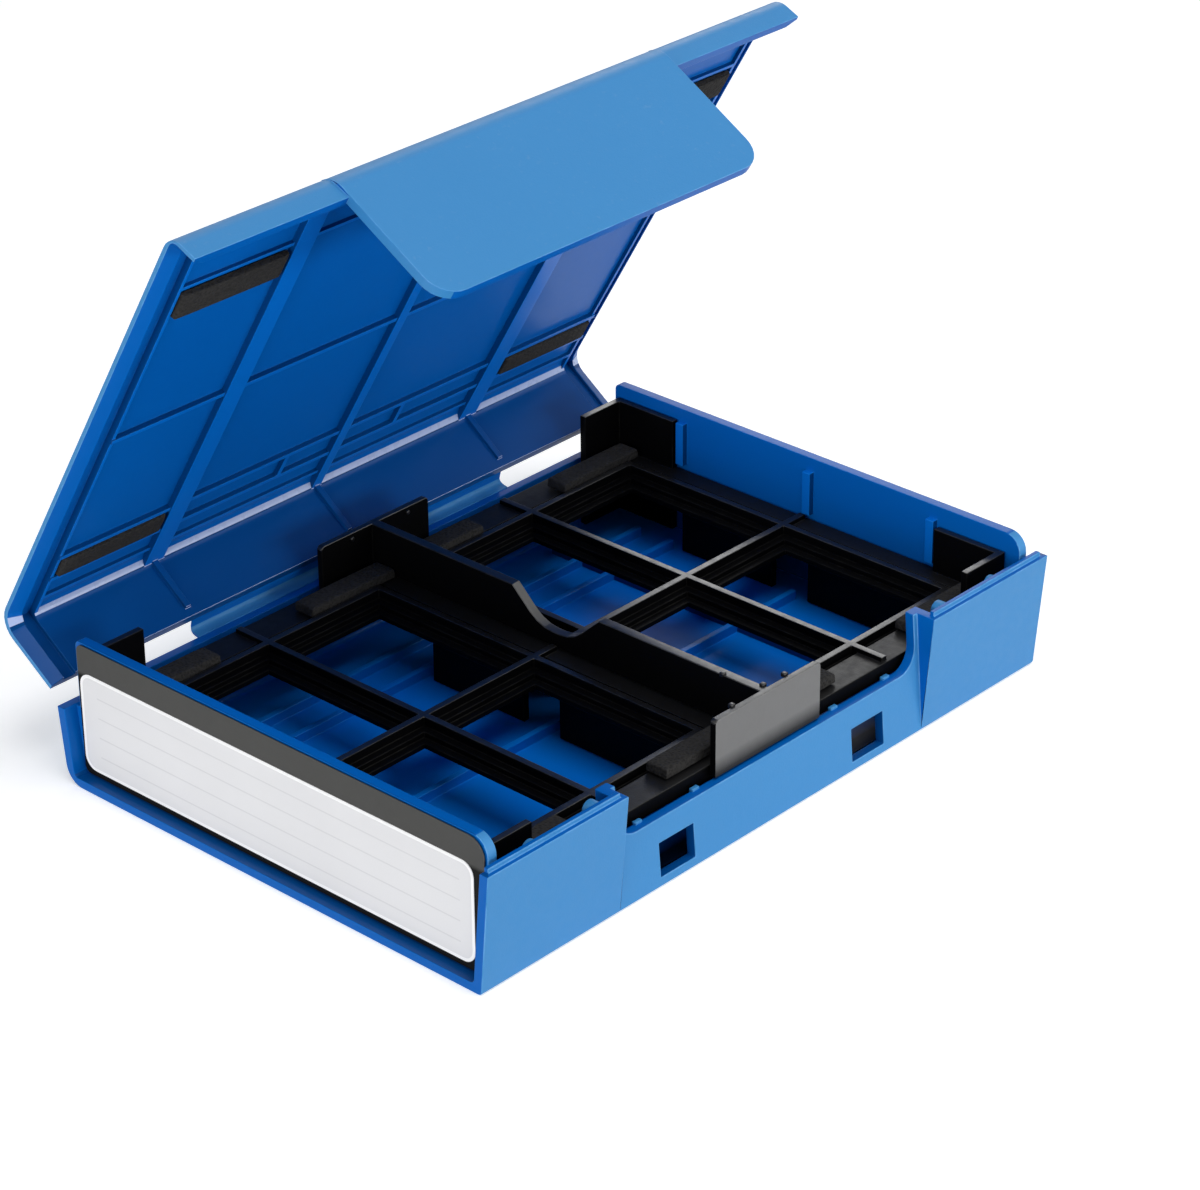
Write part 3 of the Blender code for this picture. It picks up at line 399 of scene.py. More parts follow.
def mix_colours(tree, mask, first, second, strength=1.0):
    """Blend two colours by a mask. Each colour is a socket or three numbers."""
    node = add_node(tree, "ShaderNodeMix", data_type="RGBA")
    if strength != 1.0:
        mask = maths(tree, "MULTIPLY", mask, strength)
    tree.links.new(mask, node.inputs["Factor"])
    for label, value in (("A", first), ("B", second)):
        socket = [s for s in node.inputs if s.name == label and s.type == "RGBA"][0]
        if isinstance(value, tuple):
            socket.default_value = (*value, 1.0)
        else:
            tree.links.new(value, socket)
    return [s for s in node.outputs if s.type == "RGBA"][0]


def add_bump(tree, shader, height, strength, depth):
    bump = add_node(tree, "ShaderNodeBump")
    bump.inputs["Strength"].default_value = strength
    bump.inputs["Distance"].default_value = depth
    tree.links.new(height, bump.inputs["Height"])
    tree.links.new(bump.outputs["Normal"], shader.inputs["Normal"])


# %% Plastic
GRAIN_DEPTH = 0.0001
DUST_COLOUR = (0.55, 0.54, 0.52)
DUST_ROUGHNESS = 0.4


def make_plastic(name, colours, roughness, grain, wear, specular=0.5, dust=0.0, speckle=0.10):
    """A moulded finish from three colours: the plastic, its clouds and its worn edges."""
    material, tree, shader = start_finish(name, specular)
    colour, cloud, worn = colours
    mould = place_group(tree, GRAIN, Roughness=roughness, Speckle=speckle)
    rubbed = place_group(tree, WEAR, Amount=wear)["Mask"]
    lying = place_group(tree, DUST, Amount=dust)["Mask"]
    base = mix_colours(tree, mould["Cloud"], colour, cloud)
    base = mix_colours(tree, rubbed, base, worn)
    base = mix_colours(tree, lying, base, DUST_COLOUR)
    tree.links.new(base, shader.inputs["Base Color"])
    dusty = maths(tree, "MULTIPLY", lying, DUST_ROUGHNESS)
    tree.links.new(maths(tree, "ADD", mould["Roughness"], dusty), shader.inputs["Roughness"])
    add_bump(tree, shader, mould["Height"], grain, GRAIN_DEPTH)
    return material


def base_colour(material):
    """The Base Color socket of a finish and the colour that feeds it."""
    socket = material.node_tree.nodes["Principled BSDF"].inputs["Base Color"]
    return socket, socket.links[0].from_socket


def object_axis(tree, axis):
    """One coordinate of the point of the surface."""
    axes = add_node(tree, "ShaderNodeSeparateXYZ")
    tree.links.new(object_place(tree), axes.inputs[0])
    return axes.outputs[axis]


def shade_along(material, axis, dark_before, light_after, dark):
    """Darken a finish towards the low end of an axis, as where a wall keeps the light off."""
    tree = material.node_tree
    socket, colour = base_colour(material)
    light = spread(tree, object_axis(tree, axis), dark_before, light_after)
    tree.links.new(mix_colours(tree, light, dark, colour), socket)
    return material


# %% Blue plastics
INSIDE_COLOURS = ((0.0006, 0.108, 0.440), (0.0006, 0.114, 0.452), (0.006, 0.155, 0.520))
FLOOR_DARK_BEFORE, FLOOR_LIGHT_AFTER = -0.0515, -0.0465
FLOOR_SHADE = (0.001, 0.006, 0.020)


def polished_blue(name, level, specular=0.14):
    """The polished finish of the inside, at a level from shaded to well lit."""
    colours = [tuple(level * part for part in colour) for colour in INSIDE_COLOURS]
    return make_plastic(
        name, colours, 0.30, grain=0.02, wear=0.3, specular=specular, speckle=0.03,
    )


BLUE_OUTSIDE = make_plastic(
    "blue plastic, matt outside",
    ((0.033, 0.216, 0.494), (0.038, 0.226, 0.509), (0.14, 0.36, 0.70)),
    0.42, grain=0.25, wear=0.6, specular=0.3, dust=0.1,
)
BLUE_INSIDE = polished_blue("blue plastic, polished inside", 1.0, 0.09)
# Painted light: the rib faces that catch the light get a lighter blue.
BLUE_RIB_LIT = polished_blue("blue plastic, painted light on ribs", 1.30)
# Painted shade: the rib sides turned from the light get a darker blue.
BLUE_RIB_SHADED = polished_blue("blue plastic, painted shade on ribs", 0.42, 0.05)
# Painted shade: the spine under the lid's panel and the recesses get a darker blue.
BLUE_SHADED = polished_blue("blue plastic, painted shade on spine and recesses", 0.58)
# Painted light and shade: the floor gets a lighter blue, darkened towards the front wall.
BLUE_FLOOR_LIT_AND_SHADED = shade_along(
    polished_blue("blue plastic, floor, painted light and shade", 1.42, 0.05),
    "Y", FLOOR_DARK_BEFORE, FLOOR_LIGHT_AFTER, FLOOR_SHADE,
)
# Painted highlight: the inner corner of the lid gets a pale line where it mirrors the light.
BLUE_FOLD_HIGHLIGHT = make_plastic(
    "blue plastic, painted highlight in the inner corner",
    ((0.36, 0.46, 0.72), (0.42, 0.51, 0.75), (0.55, 0.62, 0.80)),
    0.25, grain=0.10, wear=0.3,
)
BLUE_FILM = make_plastic(
    "blue plastic, thin film",
    ((0.001, 0.120, 0.480), (0.001, 0.130, 0.500), (0.03, 0.25, 0.70)),
    0.30, grain=0.05, wear=0.2, specular=0.2,
)
print("blues:", [m.name for m in bpy.data.materials if m.name.startswith("blue")])

# %% Black plastics
BLACK = make_plastic(
    "black plastic",
    ((0.0014, 0.0014, 0.0017), (0.0021, 0.0021, 0.0024), (0.010, 0.010, 0.009)),
    0.34, grain=0.08, wear=0.8, specular=0.03,
)
BLACK_LEDGE = make_plastic(
    "black plastic, ledge",
    ((0.0025, 0.0025, 0.003), (0.004, 0.004, 0.0042), (0.012, 0.012, 0.011)),
    0.42, grain=0.25, wear=0.6, specular=0.25,
)
BLACK_RUBBED = make_plastic(
    "black plastic, rubbed tops",
    ((0.004, 0.004, 0.0045), (0.006, 0.006, 0.0065), (0.030, 0.029, 0.027)),
    0.28, grain=0.10, wear=0.8, dust=0.02,
)
# Painted highlight: a pale grey for the slopes of the finger notch.
BLACK_NOTCH_HIGHLIGHT = make_plastic(
    "black plastic, painted highlight on notch",
    ((0.040, 0.040, 0.039), (0.055, 0.055, 0.053), (0.11, 0.11, 0.105)),
    0.30, grain=0.10, wear=0.8,
)
print("blacks:", [m.name for m in bpy.data.materials if m.name.startswith("black")])

# %% [markdown]
# ## The divider's end plates
#
# The plate that faces the latch is black plastic with a painted grey sheen, as it looks where it
# faces the light, and painted shade near its lower edge, where the wall of the base hides it. One
# more finish goes from black to grey by height.

# %% Plate with painted sheen and shade
PLATE_DARK_BELOW, PLATE_LIGHT_ABOVE = 0.0162, 0.0196
SHADED_BLACK = (0.004, 0.004, 0.004)

# Painted sheen and shade: black plastic painted grey, dark towards its lower edge.
PLATE_SHEEN_AND_SHADE = shade_along(
    make_plastic(
        "plate with painted sheen and shade",
        ((0.130, 0.130, 0.129), (0.142, 0.142, 0.141), (0.22, 0.22, 0.215)),
        0.45, grain=0.20, wear=0.5, specular=0.3,
    ),
    "Z", PLATE_DARK_BELOW, PLATE_LIGHT_ABOVE, SHADED_BLACK,
)
print("finish:", PLATE_SHEEN_AND_SHADE.name)

# %% [markdown]
# ## Softened edges
#
# No moulded edge is sharp: the mould is milled with a small round tool, and that small round
# catches the light. The CAD solids have sharp edges. For each plastic piece we merge a copy of
# its CAD mesh, dissolve the flat triangles, split the faces that wrap around a hole, so that the
# hole stays open, and bevel every real edge. The new faces get the attribute edge for the wear.
# Shading is weighted by area, so that the wide faces stay flat. The copy then stands for the CAD
# piece. The widths stay below the narrowest step of each piece.

# %% Rounded copies
MERGE = 0.00001
FLAT = radians(0.6)
REAL_EDGE = radians(34)
SMOOTH_EDGE = radians(48)


def real_edges(shape):
    """The edges where two faces of a bmesh meet at a true corner."""
    return [e for e in shape.edges if len(e.link_faces) == 2 and e.calc_face_angle() > REAL_EDGE]


def bevel_edges(shape, edges, width, segments=2):
    """Round some edges of a bmesh. Returns the new faces."""
    made = bmesh.ops.bevel(
        shape, geom=edges, offset=width, offset_type="OFFSET", segments=segments, profile=0.5,
        affect="EDGES", clamp_overlap=False, material=-1, loop_slide=False,
    )
    return made["faces"]


def shade_soft(piece):
    """Shade a piece smooth, apart from its sharp edges."""
    piece.data.shade_smooth()
    piece.data.set_sharp_from_angle(angle=SMOOTH_EDGE)


def rounded_copy(name, width):
    """A copy of a CAD node with bevelled edges. The new faces carry the attribute edge."""
    shape = bmesh.new()
    shape.from_mesh(frame["nodes"][name].data)
    bmesh.ops.remove_doubles(shape, verts=shape.verts, dist=MERGE)
    bmesh.ops.dissolve_limit(
        shape, angle_limit=FLAT, verts=shape.verts, edges=shape.edges,
        use_dissolve_boundaries=False,
    )
    bmesh.ops.connect_verts_concave(shape, faces=shape.faces)
    edge_layer = shape.faces.layers.float.new("edge")
    for face in bevel_edges(shape, real_edges(shape), width):
        face[edge_layer] = 1.0
    copy = add_piece("soft_" + name, shape)
    shade_soft(copy)
    even = copy.modifiers.new("even shading", "WEIGHTED_NORMAL")
    even.keep_sharp = True
    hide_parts(name)
    return copy


# %% [markdown]
# ## Finishes by face
#
# A moulded piece is one solid with several finishes, so each face gets its own, chosen by the
# middle of the face and by the direction in which it looks. A face looks slightly, halfway,
# mostly or squarely along an axis when that part of its normal passes one of four values.

# %% Paint by face
SLIGHTLY, HALFWAY, MOSTLY, SQUARELY = 0.3, 0.5, 0.6, 0.9
NEAR = 0.0002


def paint(piece, finishes, choose):
    """Give each face of a piece one of the named finishes, by its middle and its direction."""
    mesh = piece.data
    mesh.materials.clear()
    for material in finishes.values():
        mesh.materials.append(material)
    names = list(finishes)
    counts = dict.fromkeys(names, 0)
    for face in mesh.polygons:
        name = choose(face.center, face.normal)
        face.material_index = names.index(name)
        counts[name] += 1
    print(piece.name, "faces by finish:", counts)


# %% [markdown]
# ## The base
#
# The base is matt outside and polished inside. A face counts as outside when it looks away from
# the hollow, so its direction decides as well as its place. Inside, light and shade are painted
# into the blue: the floor and the lit sides of its ribs get the lightest levels, and the ribs'
# other sides the darkest. The recesses, which are the reveals of the latch windows and the narrow
# steps beyond the end walls, get a painted shade between. The floor is also painted darker
# towards the front wall, where the wall keeps the light off.

# %% Base shell
BASE_ROUND = 0.00018
BESIDE_TRAY = 0.0005
UNDERSIDE = 0.0019
FLOOR_TOP = 0.0020
FLOOR_RIB_TOP = 0.0042
END_WALL_INSIDE, END_WALL_OUTSIDE = 0.0784, 0.0807
END_RIB_REACH = 0.0016
WINDOW_PLACE, WINDOW_REACH, WINDOW_TOP = 0.0290, 0.0056, 0.0104
# Lit rib faces and the floor carry painted light, shaded rib faces and the recesses painted shade.
BASE_FINISHES = {
    "outside": BLUE_OUTSIDE,
    "inside": BLUE_INSIDE,
    "lit rib": BLUE_RIB_LIT,
    "shaded rib": BLUE_RIB_SHADED,
    "floor": BLUE_FLOOR_LIT_AND_SHADED,
    "recess": BLUE_SHADED,
}
tray_low, tray_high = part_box("inner_tray")


def is_window_reveal(point, normal):
    """Whether a face lines one of the two latch windows."""
    beside = abs(abs(point.x) - WINDOW_PLACE) < WINDOW_REACH
    level = FLOOR_TOP < point.z < WINDOW_TOP
    return beside and level and point.y < tray_low[1] and abs(normal.y) < SLIGHTLY


def base_finish(point, normal):
    if is_window_reveal(point, normal):
        return "recess"
    front = point.y < tray_low[1] + BESIDE_TRAY and normal.y < -SLIGHTLY
    back = point.y > tray_high[1] + BESIDE_TRAY and normal.y > SLIGHTLY
    under = point.z < UNDERSIDE and normal.z < -SLIGHTLY
    if front or back or under:
        return "outside"
    if abs(point.x) > END_WALL_OUTSIDE - NEAR:
        return "recess" if normal.z > HALFWAY else "inside"
    if point.z < FLOOR_TOP + NEAR and normal.z > SQUARELY:
        return "floor"
    if point.z < FLOOR_RIB_TOP + NEAR:
        return "lit rib" if normal.z > MOSTLY or normal.y < -HALFWAY else "shaded rib"
    if NEAR < END_WALL_INSIDE - abs(point.x) < END_RIB_REACH:
        return "lit rib" if abs(normal.x) > HALFWAY or normal.z > HALFWAY else "shaded rib"
    return "inside"


base_shell = rounded_copy("base_shell", BASE_ROUND)
paint(base_shell, BASE_FINISHES, base_finish)
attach(base_shell, "base")

# %% [markdown]
# ## The lid
#
# The lid is drawn open, but its faces are easier to sort with the lid shut, so each one is turned
# about the hinge first, and the places below are those of the shut lid. Its outer faces lean a
# little, so they are sorted by leans of their own. Inside, light and shade are painted into the
# blue as in the base: lighter rib tops, darker rib sides and a darker spine under the panel. The
# inner corner between panel and spine gets a painted highlight, a pale line between the ribs
# where the rounded corner mirrors the light.

# %% Lid shell
LID_ROUND = 0.00012
hinge_joint = frame["joints"][0]
HINGE = Vector(hinge_joint["pos_m"])
SHUT_ANGLE = radians(hinge_joint["range_deg"][1])
TO_SHUT = (
    Matrix.Translation(HINGE) @ Matrix.Rotation(SHUT_ANGLE, 4, "X") @ Matrix.Translation(-HINGE)
)
TO_REST = TO_SHUT.inverted()
LID_TOP_FROM = 0.0300
LID_OUTSIDE_FROM = 0.0340
LID_END_FROM = 0.0837
LID_FRONT_FROM = -0.0583
LID_BACK_FROM = 0.0565
FLAP_SIDE_FROM = 0.0400
LIP_BOTTOM = 0.0281
FOLD_FROM = 0.0520
RIB_UNDER, RIB_OVER = 0.0316, 0.0326
CEILING = 0.0332
SPINE_FROM = 0.0545
OUT_LEAN, END_LEAN, FOLD_LEAN = 0.2, 0.4, 0.45
# Rib tops carry painted light, rib sides and the spine painted shade, and the fold a painted
# highlight.
LID_FINISHES = {
    "outside": BLUE_OUTSIDE,
    "inside": BLUE_INSIDE,
    "fold": BLUE_FOLD_HIGHLIGHT,
    "rib top": BLUE_RIB_LIT,
    "rib side": BLUE_RIB_SHADED,
    "spine": BLUE_SHADED,
}


def is_lid_outside(place, facing):
    """Whether a face of the shut lid is seen from outside."""
    top = place.z > LID_OUTSIDE_FROM or (place.z > LID_TOP_FROM and facing.z > OUT_LEAN)
    end = abs(place.x) > LID_END_FROM and abs(facing.x) > END_LEAN
    front = place.y < LID_FRONT_FROM and facing.y < -OUT_LEAN
    back = place.y > LID_BACK_FROM and facing.y > OUT_LEAN
    beside_flap = abs(place.x) > FLAP_SIDE_FROM and place.y < 0 and place.z < LIP_BOTTOM
    return top or end or front or back or (beside_flap and abs(facing.x) > END_LEAN)


def lid_finish(point, normal):
    place = TO_SHUT @ point
    facing = TO_SHUT.to_3x3() @ normal
    if is_lid_outside(place, facing):
        return "outside"
    if place.y > FOLD_FROM and facing.y < -FOLD_LEAN and facing.z < -FOLD_LEAN:
        return "fold"
    if RIB_UNDER < place.z < RIB_OVER and facing.z < -SQUARELY:
        return "rib top"
    if RIB_UNDER < place.z < CEILING and abs(facing.z) < MOSTLY:
        return "rib side"
    if place.y > SPINE_FROM and place.z < RIB_UNDER:
        return "rib side" if abs(facing.x) > HALFWAY else "spine"
    return "inside"


lid_shell = rounded_copy("lid_shell", LID_ROUND)
paint(lid_shell, LID_FINISHES, lid_finish)
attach(lid_shell, "lid")

# %% [markdown]
# ## Tray and divider
#
# The tray is black and takes little light. Only the tops of its ribs, where the drives slide in
# and out, are rubbed shiny, and so is the top of the divider. The slopes of the finger notch get a
# painted grey highlight.

# %% Tray
TRAY_ROUND = 0.00018
LEDGE_TOP, RIB_TOP = 0.0174, 0.0184
FRONT_POST_BEFORE, FRONT_POST_BEYOND, FRONT_POST_DROP = -0.0300, 0.0550, 0.0016
TRAY_FINISHES = {"plain": BLACK, "rubbed": BLACK_RUBBED, "ledge": BLACK_LEDGE}


def tray_finish(point, normal):
    if normal.z > SQUARELY and abs(point.z - LEDGE_TOP) < NEAR:
        return "ledge"
    return "rubbed" if normal.z > MOSTLY and point.z > RIB_TOP - NEAR else "plain"


def lower_front_posts(tray):
    """The two posts behind the front panels are a little lower than those at the back."""
    for vert in tray.data.vertices:
        in_corner = vert.co.y < FRONT_POST_BEFORE and abs(vert.co.x) > FRONT_POST_BEYOND
        if in_corner and vert.co.z > RIB_TOP + FRONT_POST_DROP:
            vert.co.z -= FRONT_POST_DROP


inner_tray = rounded_copy("inner_tray", TRAY_ROUND)
lower_front_posts(inner_tray)
paint(inner_tray, TRAY_FINISHES, tray_finish)
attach(inner_tray, "base")

# %% Divider
DIVIDER_HALF = 0.0009
RUBBED_ABOVE = 0.0196
SLOPE_LEAN, LEVEL_LEAN = 0.15, 0.97
# The plate facing the latch gets the painted sheen and shade.
DIVIDER_FINISHES = {
    "plain": BLACK,
    "rubbed": BLACK_RUBBED,
    "painted sheen": PLATE_SHEEN_AND_SHADE,
    "worn": BLACK_NOTCH_HIGHLIGHT,
}
divider_low, divider_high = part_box("tray_divider")


def divider_finish(point, normal):
    if normal.y < -MOSTLY and point.y < divider_low[1] + NEAR:
        return "painted sheen"
    # The notch slopes get the painted highlight, under the key worn.
    sloping = SLOPE_LEAN < normal.z < LEVEL_LEAN and abs(normal.y) > SLOPE_LEAN
    if sloping and abs(point.x) < DIVIDER_HALF:
        return "worn"
    return "rubbed" if normal.z > SLOPE_LEAN and point.z > RUBBED_ABOVE else "plain"


tray_divider = rounded_copy("tray_divider", TRAY_ROUND)
paint(tray_divider, DIVIDER_FINISHES, divider_finish)
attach(tray_divider, "base")

# %% [markdown]
# ## Tabs, stops and pins
#
# Small stops stand on the walls: four tabs along the latch wall, a pair of round-topped stops
# behind each front panel, lugs on top of the divider and two pins on its back plate. They are too
# small to be solids of their own in the CAD model, so each one is a bevelled block or disc added
# here.

# %% Small stops
STOP_ROUND = 0.00015
DISC_SIDES = 32
LATCH_TAB = (0.0020, 0.0010, 0.0011)
LATCH_TABS = [(x, -0.0543, 0.0148) for x in (-0.0375, -0.0210, 0.0210, 0.0375)]
PANEL_STOP = (0.0038, 0.0024, 0.0038)
PANEL_STOPS = [
    (side * x, y, z)
    for side in (-1, 1) for x, y, z in ((0.0523, -0.0566, 0.0253), (0.0692, -0.0570, 0.0246))
]
DIVIDER_LUG = (0.0011, 0.0011, 0.0009)
DIVIDER_LUGS = [
    (x, y, divider_high[2])
    for x, y in ((-0.0008, -0.0440), (0.0071, -0.0531), (-0.0091, -0.0534), (0.0011, -0.0527))
]
PLATE_PIN = (0.0010, 0.0008, 0.0010)
PLATE_PINS = [(x, 0.0534, 0.0268) for x in (0.0094, -0.0071)]


def make_stops(name, places, size, material, is_round=False):
    """Blocks, or discs that face the front, one at each place, as one piece."""
    shape = bmesh.new()
    for place in places:
        matrix = Matrix.Translation(place) @ Matrix.Diagonal((*size, 1))
        if is_round:
            bmesh.ops.create_cone(
                shape, cap_ends=True, segments=DISC_SIDES, radius1=0.5, radius2=0.5, depth=1.0,
                matrix=matrix @ Matrix.Rotation(pi / 2, 4, "X"),
            )
        else:
            bmesh.ops.create_cube(shape, size=1.0, matrix=matrix)
    bevel_edges(shape, real_edges(shape), STOP_ROUND)
    stops = add_piece(name, shape)
    shade_soft(stops)
    stops.data.materials.append(material)
    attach(stops, "base")
    print(name + ":", len(places))


make_stops("latch_tabs", LATCH_TABS, LATCH_TAB, BLUE_OUTSIDE)
make_stops("panel_stops", PANEL_STOPS, PANEL_STOP, BLUE_OUTSIDE, is_round=True)
make_stops("divider_lugs", DIVIDER_LUGS, DIVIDER_LUG, BLACK_RUBBED)
make_stops("plate_pins", PLATE_PINS, PLATE_PIN, BLACK_RUBBED, is_round=True)

# %% [markdown]
# ## Foam
#
# The pads are strips cut from a sheet of dark foam. A knife leaves their sides straight, and the
# open cells make them matt and rough. Each pad is a closed form in the space of its CAD solid,
# flat where it is stuck down and slightly crowned on the free side. It starts as a cube cut into
# a grid, which the crown bends, and a small bevel takes off its sharp edges.

# %% Foam finish
FOAM_CELLS = 1500.0
FOAM_CLOUDS = 375.0
PORE_RANGE = (0.1, 0.7)
FOAM_CLOUD_RANGE = (0.35, 0.65)
PORE_COLOUR, FOAM_COLOUR = (0.016, 0.0155, 0.0155), (0.030, 0.029, 0.028)
FADED_FOAM, FADED_SHARE = (0.036, 0.035, 0.034), 0.35
FOAM_ROUGHNESS = (0.85, 1.0)
FOAM_SPECULAR = 0.1
FOAM_BUMP, PORE_DEPTH = 0.7, 0.0002


def spread_back(tree, value, low, high):
    """Turn 0 to 1 into the range low to high."""
    node = add_node(tree, "ShaderNodeMapRange")
    node.inputs["To Min"].default_value = low
    node.inputs["To Max"].default_value = high
    tree.links.new(value, node.inputs["Value"])
    return node.outputs["Result"]


def make_foam():
    """Dark foam with small open cells and a faintly uneven colour."""
    material, tree, shader = start_finish("dark foam", FOAM_SPECULAR)
    place = object_place(tree)
    cells = add_node(tree, "ShaderNodeTexVoronoi", feature="F1")
    cells.inputs["Scale"].default_value = FOAM_CELLS
    tree.links.new(place, cells.inputs["Vector"])
    pores = spread(tree, cells.outputs["Distance"], *PORE_RANGE)
    noise = noise_field(tree, place, FOAM_CLOUDS, detail=4.0)
    clouds = spread(tree, noise, *FOAM_CLOUD_RANGE)
    base = mix_colours(tree, pores, PORE_COLOUR, FOAM_COLOUR)
    base = mix_colours(tree, clouds, base, FADED_FOAM, FADED_SHARE)
    tree.links.new(base, shader.inputs["Base Color"])
    tree.links.new(spread_back(tree, clouds, *FOAM_ROUGHNESS), shader.inputs["Roughness"])
    add_bump(tree, shader, pores, FOAM_BUMP, PORE_DEPTH)
    return material


FOAM = make_foam()
print("finish:", FOAM.name)

# %% Foam pads
PAD_CUTS = 7
PAD_CROWN = 0.10
CROWN_ALONG, CROWN_ACROSS = 8, 4
PAD_PINCH = 0.02
PAD_ROUND = 0.0003


def turned_box(name, turn):
    """The lowest and highest corners of a CAD node, once it is turned."""
    places = [turn @ vert.co for vert in frame["nodes"][name].data.vertices]
    low = Vector([min(p[axis] for p in places) for axis in range(3)])
    high = Vector([max(p[axis] for p in places) for axis in range(3)])
    return low, high


def crown_pad(shape, free_side):
    """Bend the free side of a cube of size 1 down towards its ends and draw it in a little."""
    for vert in shape.verts:
        u, v, w = (2 * c for c in vert.co)
        loose = (1 + w * free_side) / 2
        crown = PAD_CROWN * loose * (u ** CROWN_ALONG + v ** CROWN_ACROSS)
        pinch = 1 - PAD_PINCH * loose * loose
        vert.co = Vector((u * pinch, v * pinch, w - free_side * crown)) / 2


def make_pad(name, body, to_flat, free_side):
    """A crowned foam strip. The free side is 1 where it looks up and -1 where it looks down."""
    low, high = turned_box(name, to_flat)
    shape = bmesh.new()
    bmesh.ops.create_cube(shape, size=1.0)
    bmesh.ops.subdivide_edges(shape, edges=shape.edges, cuts=PAD_CUTS, use_grid_fill=True)
    crown_pad(shape, free_side)
    size = Matrix.Diagonal((*(high - low), 1))
    place = to_flat.inverted() @ Matrix.Translation((low + high) / 2) @ size
    bmesh.ops.transform(shape, matrix=place, verts=shape.verts)
    bmesh.ops.recalc_face_normals(shape, faces=shape.faces)
    pad = add_piece("foam_" + name, shape)
    pad.data.shade_smooth()
    pad.data.materials.append(FOAM)
    soften = pad.modifiers.new("soften", "BEVEL")
    soften.width = PAD_ROUND
    soften.segments = 2
    soften.limit_method = "ANGLE"
    soften.angle_limit = REAL_EDGE
    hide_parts(name)
    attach(pad, body)


tray_pads = [n for n in sorted(frame["nodes"]) if n.startswith("tray_pad_")]
lid_pads = [n for n in sorted(frame["nodes"]) if n.startswith("lid_pad_")]
for pad_name in tray_pads:
    make_pad(pad_name, "base", Matrix.Identity(4), 1)
for pad_name in lid_pads:
    make_pad(pad_name, "lid", TO_SHUT, -1)
print("pads:", len(tray_pads), "in the tray,", len(lid_pads), "in the lid")

# %% [markdown]
# ## The hinge strip
#
# Base and lid are one moulding, and the strip between them is thin enough to bend. It runs from the
# base at one edge to the open lid at the other. A flat grid is bent onto a shallow arc between the
# two edges and given its thickness.

# %% Hinge strip
STRIP_HALF_WIDTH = 0.0460
STRIP_THICKNESS = 0.0005
STRIP_BULGE = 0.0014
STRIP_BACK = 0.05915
STRIP_START = Vector((0, STRIP_BACK, 0.0172))
STRIP_END = TO_REST @ Vector((0, STRIP_BACK, 0.0179))
STRIP_CHORD = STRIP_END - STRIP_START
STRIP_OUTWARD = Vector((0, STRIP_CHORD.z, -STRIP_CHORD.y)).normalized()
STRIP_CELLS = (24, 14)


def strip_finish(point, normal):
    return "outside" if normal.dot(STRIP_OUTWARD) > SLIGHTLY else "film"


def make_hinge_strip():
    shape = bmesh.new()
    bmesh.ops.create_grid(
        shape, x_segments=STRIP_CELLS[0], y_segments=STRIP_CELLS[1], size=0.5,
    )
    for vert in shape.verts:
        share = vert.co.y + 0.5
        across = Vector((2 * vert.co.x * STRIP_HALF_WIDTH, 0, 0))
        bulge = STRIP_OUTWARD * STRIP_BULGE * sin(pi * share)
        vert.co = STRIP_START + STRIP_CHORD * share + bulge + across
    bmesh.ops.solidify(shape, geom=shape.faces[:], thickness=STRIP_THICKNESS)
    bmesh.ops.recalc_face_normals(shape, faces=shape.faces)
    strip = add_piece("hinge_strip", shape)
    shade_soft(strip)
    paint(strip, {"film": BLUE_FILM, "outside": BLUE_OUTSIDE}, strip_finish)
    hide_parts("living_hinge")
    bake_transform(strip)


make_hinge_strip()

# %% [markdown]
# ## The label
#
# The end wall carries a dark label, greyer in the band along its top, with a paper card on it.
# The card has a bright rim and a ruled field. It is a box whose corners are rounded by one bevel,
# and whose face is inset once, so that rim and field can have finishes of their own. The lines
# are too fine to be worth a shape, so they are drawn in the paper's finish.

# %% Label finishes
LABEL_ROUND = 0.00006
BAND_FROM, BAND_TO = 0.0246, 0.0256
FIELD_HALF = 0.0500
LINE_FIRST, LINE_PITCH = 0.0075, 0.0045
LINE_HALF_SHARE = 0.035
LINE_COLOUR, LINE_STRENGTH = (0.50, 0.50, 0.52), 0.35


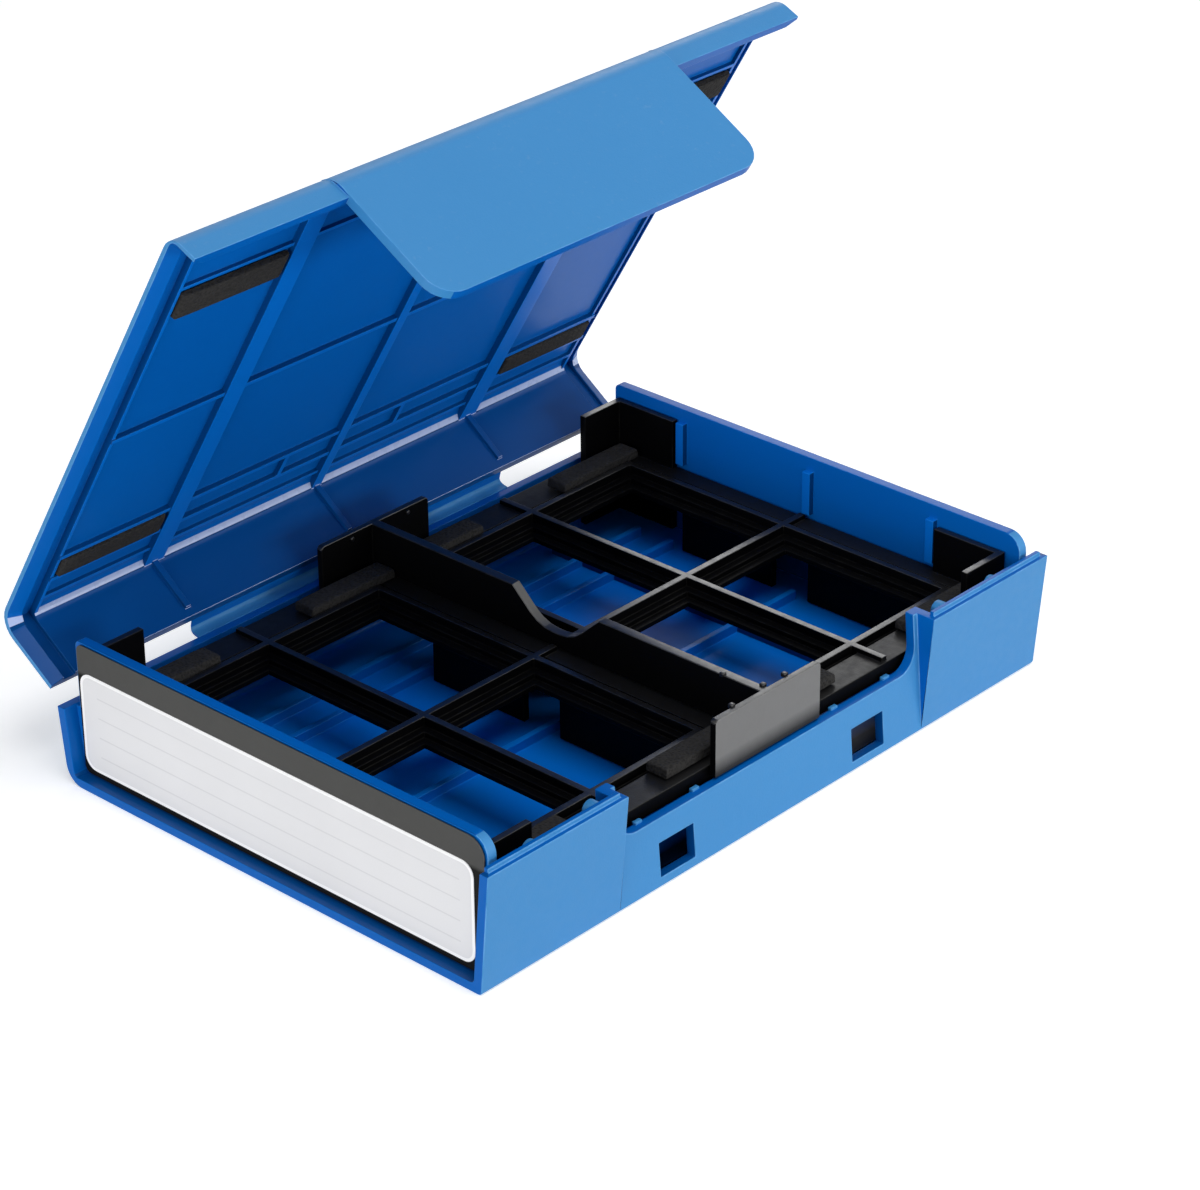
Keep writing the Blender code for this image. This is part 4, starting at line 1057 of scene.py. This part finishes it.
def rule_lines(material):
    """Draw faint level lines on a paper, from the first one upwards at an even pitch."""
    tree = material.node_tree
    socket, paper = base_colour(material)
    above_first = maths(tree, "SUBTRACT", object_axis(tree, "Z"), LINE_FIRST)
    rows = maths(tree, "DIVIDE", above_first, LINE_PITCH)
    near_line = maths(tree, "LESS_THAN", maths(tree, "PINGPONG", rows, 0.5), LINE_HALF_SHARE)
    from_middle = maths(tree, "ABSOLUTE", object_axis(tree, "Y"))
    in_field = maths(tree, "LESS_THAN", from_middle, FIELD_HALF)
    lines = maths(tree, "MULTIPLY", near_line, in_field)
    tree.links.new(mix_colours(tree, lines, paper, LINE_COLOUR, LINE_STRENGTH), socket)
    return material


def make_paper(name, colour, fibre):
    """Paper with fine fibres."""
    colours = (colour, fibre, colour)
    return make_plastic(name, colours, 0.65, grain=0.30, wear=0.0, specular=0.2)


BACKING = shade_along(
    make_plastic(
        "dark label card",
        ((0.066, 0.066, 0.063), (0.073, 0.073, 0.070), (0.12, 0.12, 0.12)),
        0.55, grain=0.30, wear=0.3, specular=0.08,
    ),
    "Z", BAND_FROM, BAND_TO, SHADED_BLACK,
)
PAPER_RIM = make_paper("paper rim", (0.92, 0.92, 0.92), (0.95, 0.95, 0.95))
PAPER_FIELD = rule_lines(make_paper("ruled paper", (0.72, 0.72, 0.73), (0.78, 0.78, 0.79)))
print("finishes:", BACKING.name, PAPER_RIM.name, PAPER_FIELD.name)

# %% Label
CARD_LOW = Vector((-0.08138, -0.0537, 0.0036))
CARD_HIGH = Vector((-0.08126, 0.0548, 0.0256))
CARD_CORNER, CARD_SEGMENTS = 0.0030, 8
CARD_RIM = 0.0007


def make_card():
    shape = bmesh.new()
    size = Matrix.Diagonal((*(CARD_HIGH - CARD_LOW), 1))
    middle = Matrix.Translation((CARD_LOW + CARD_HIGH) / 2)
    bmesh.ops.create_cube(shape, size=1.0, matrix=middle @ size)
    corners = [e for e in shape.edges if abs(e.verts[0].co.x - e.verts[1].co.x) > MERGE]
    bevel_edges(shape, corners, CARD_CORNER, CARD_SEGMENTS)
    front = [f for f in shape.faces if f.normal.x < -SQUARELY]
    bmesh.ops.inset_region(shape, faces=front, thickness=CARD_RIM)
    for face in front:
        face.material_index = 1
    card = add_piece("label_card", shape)
    card.data.materials.append(PAPER_RIM)
    card.data.materials.append(PAPER_FIELD)
    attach(card, "base")
    return card


backing = rounded_copy("index_label", LABEL_ROUND)
backing.data.materials.clear()
backing.data.materials.append(BACKING)
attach(backing, "base")
card = make_card()
print("label:", len(backing.data.polygons), "faces, card:", len(card.data.polygons))
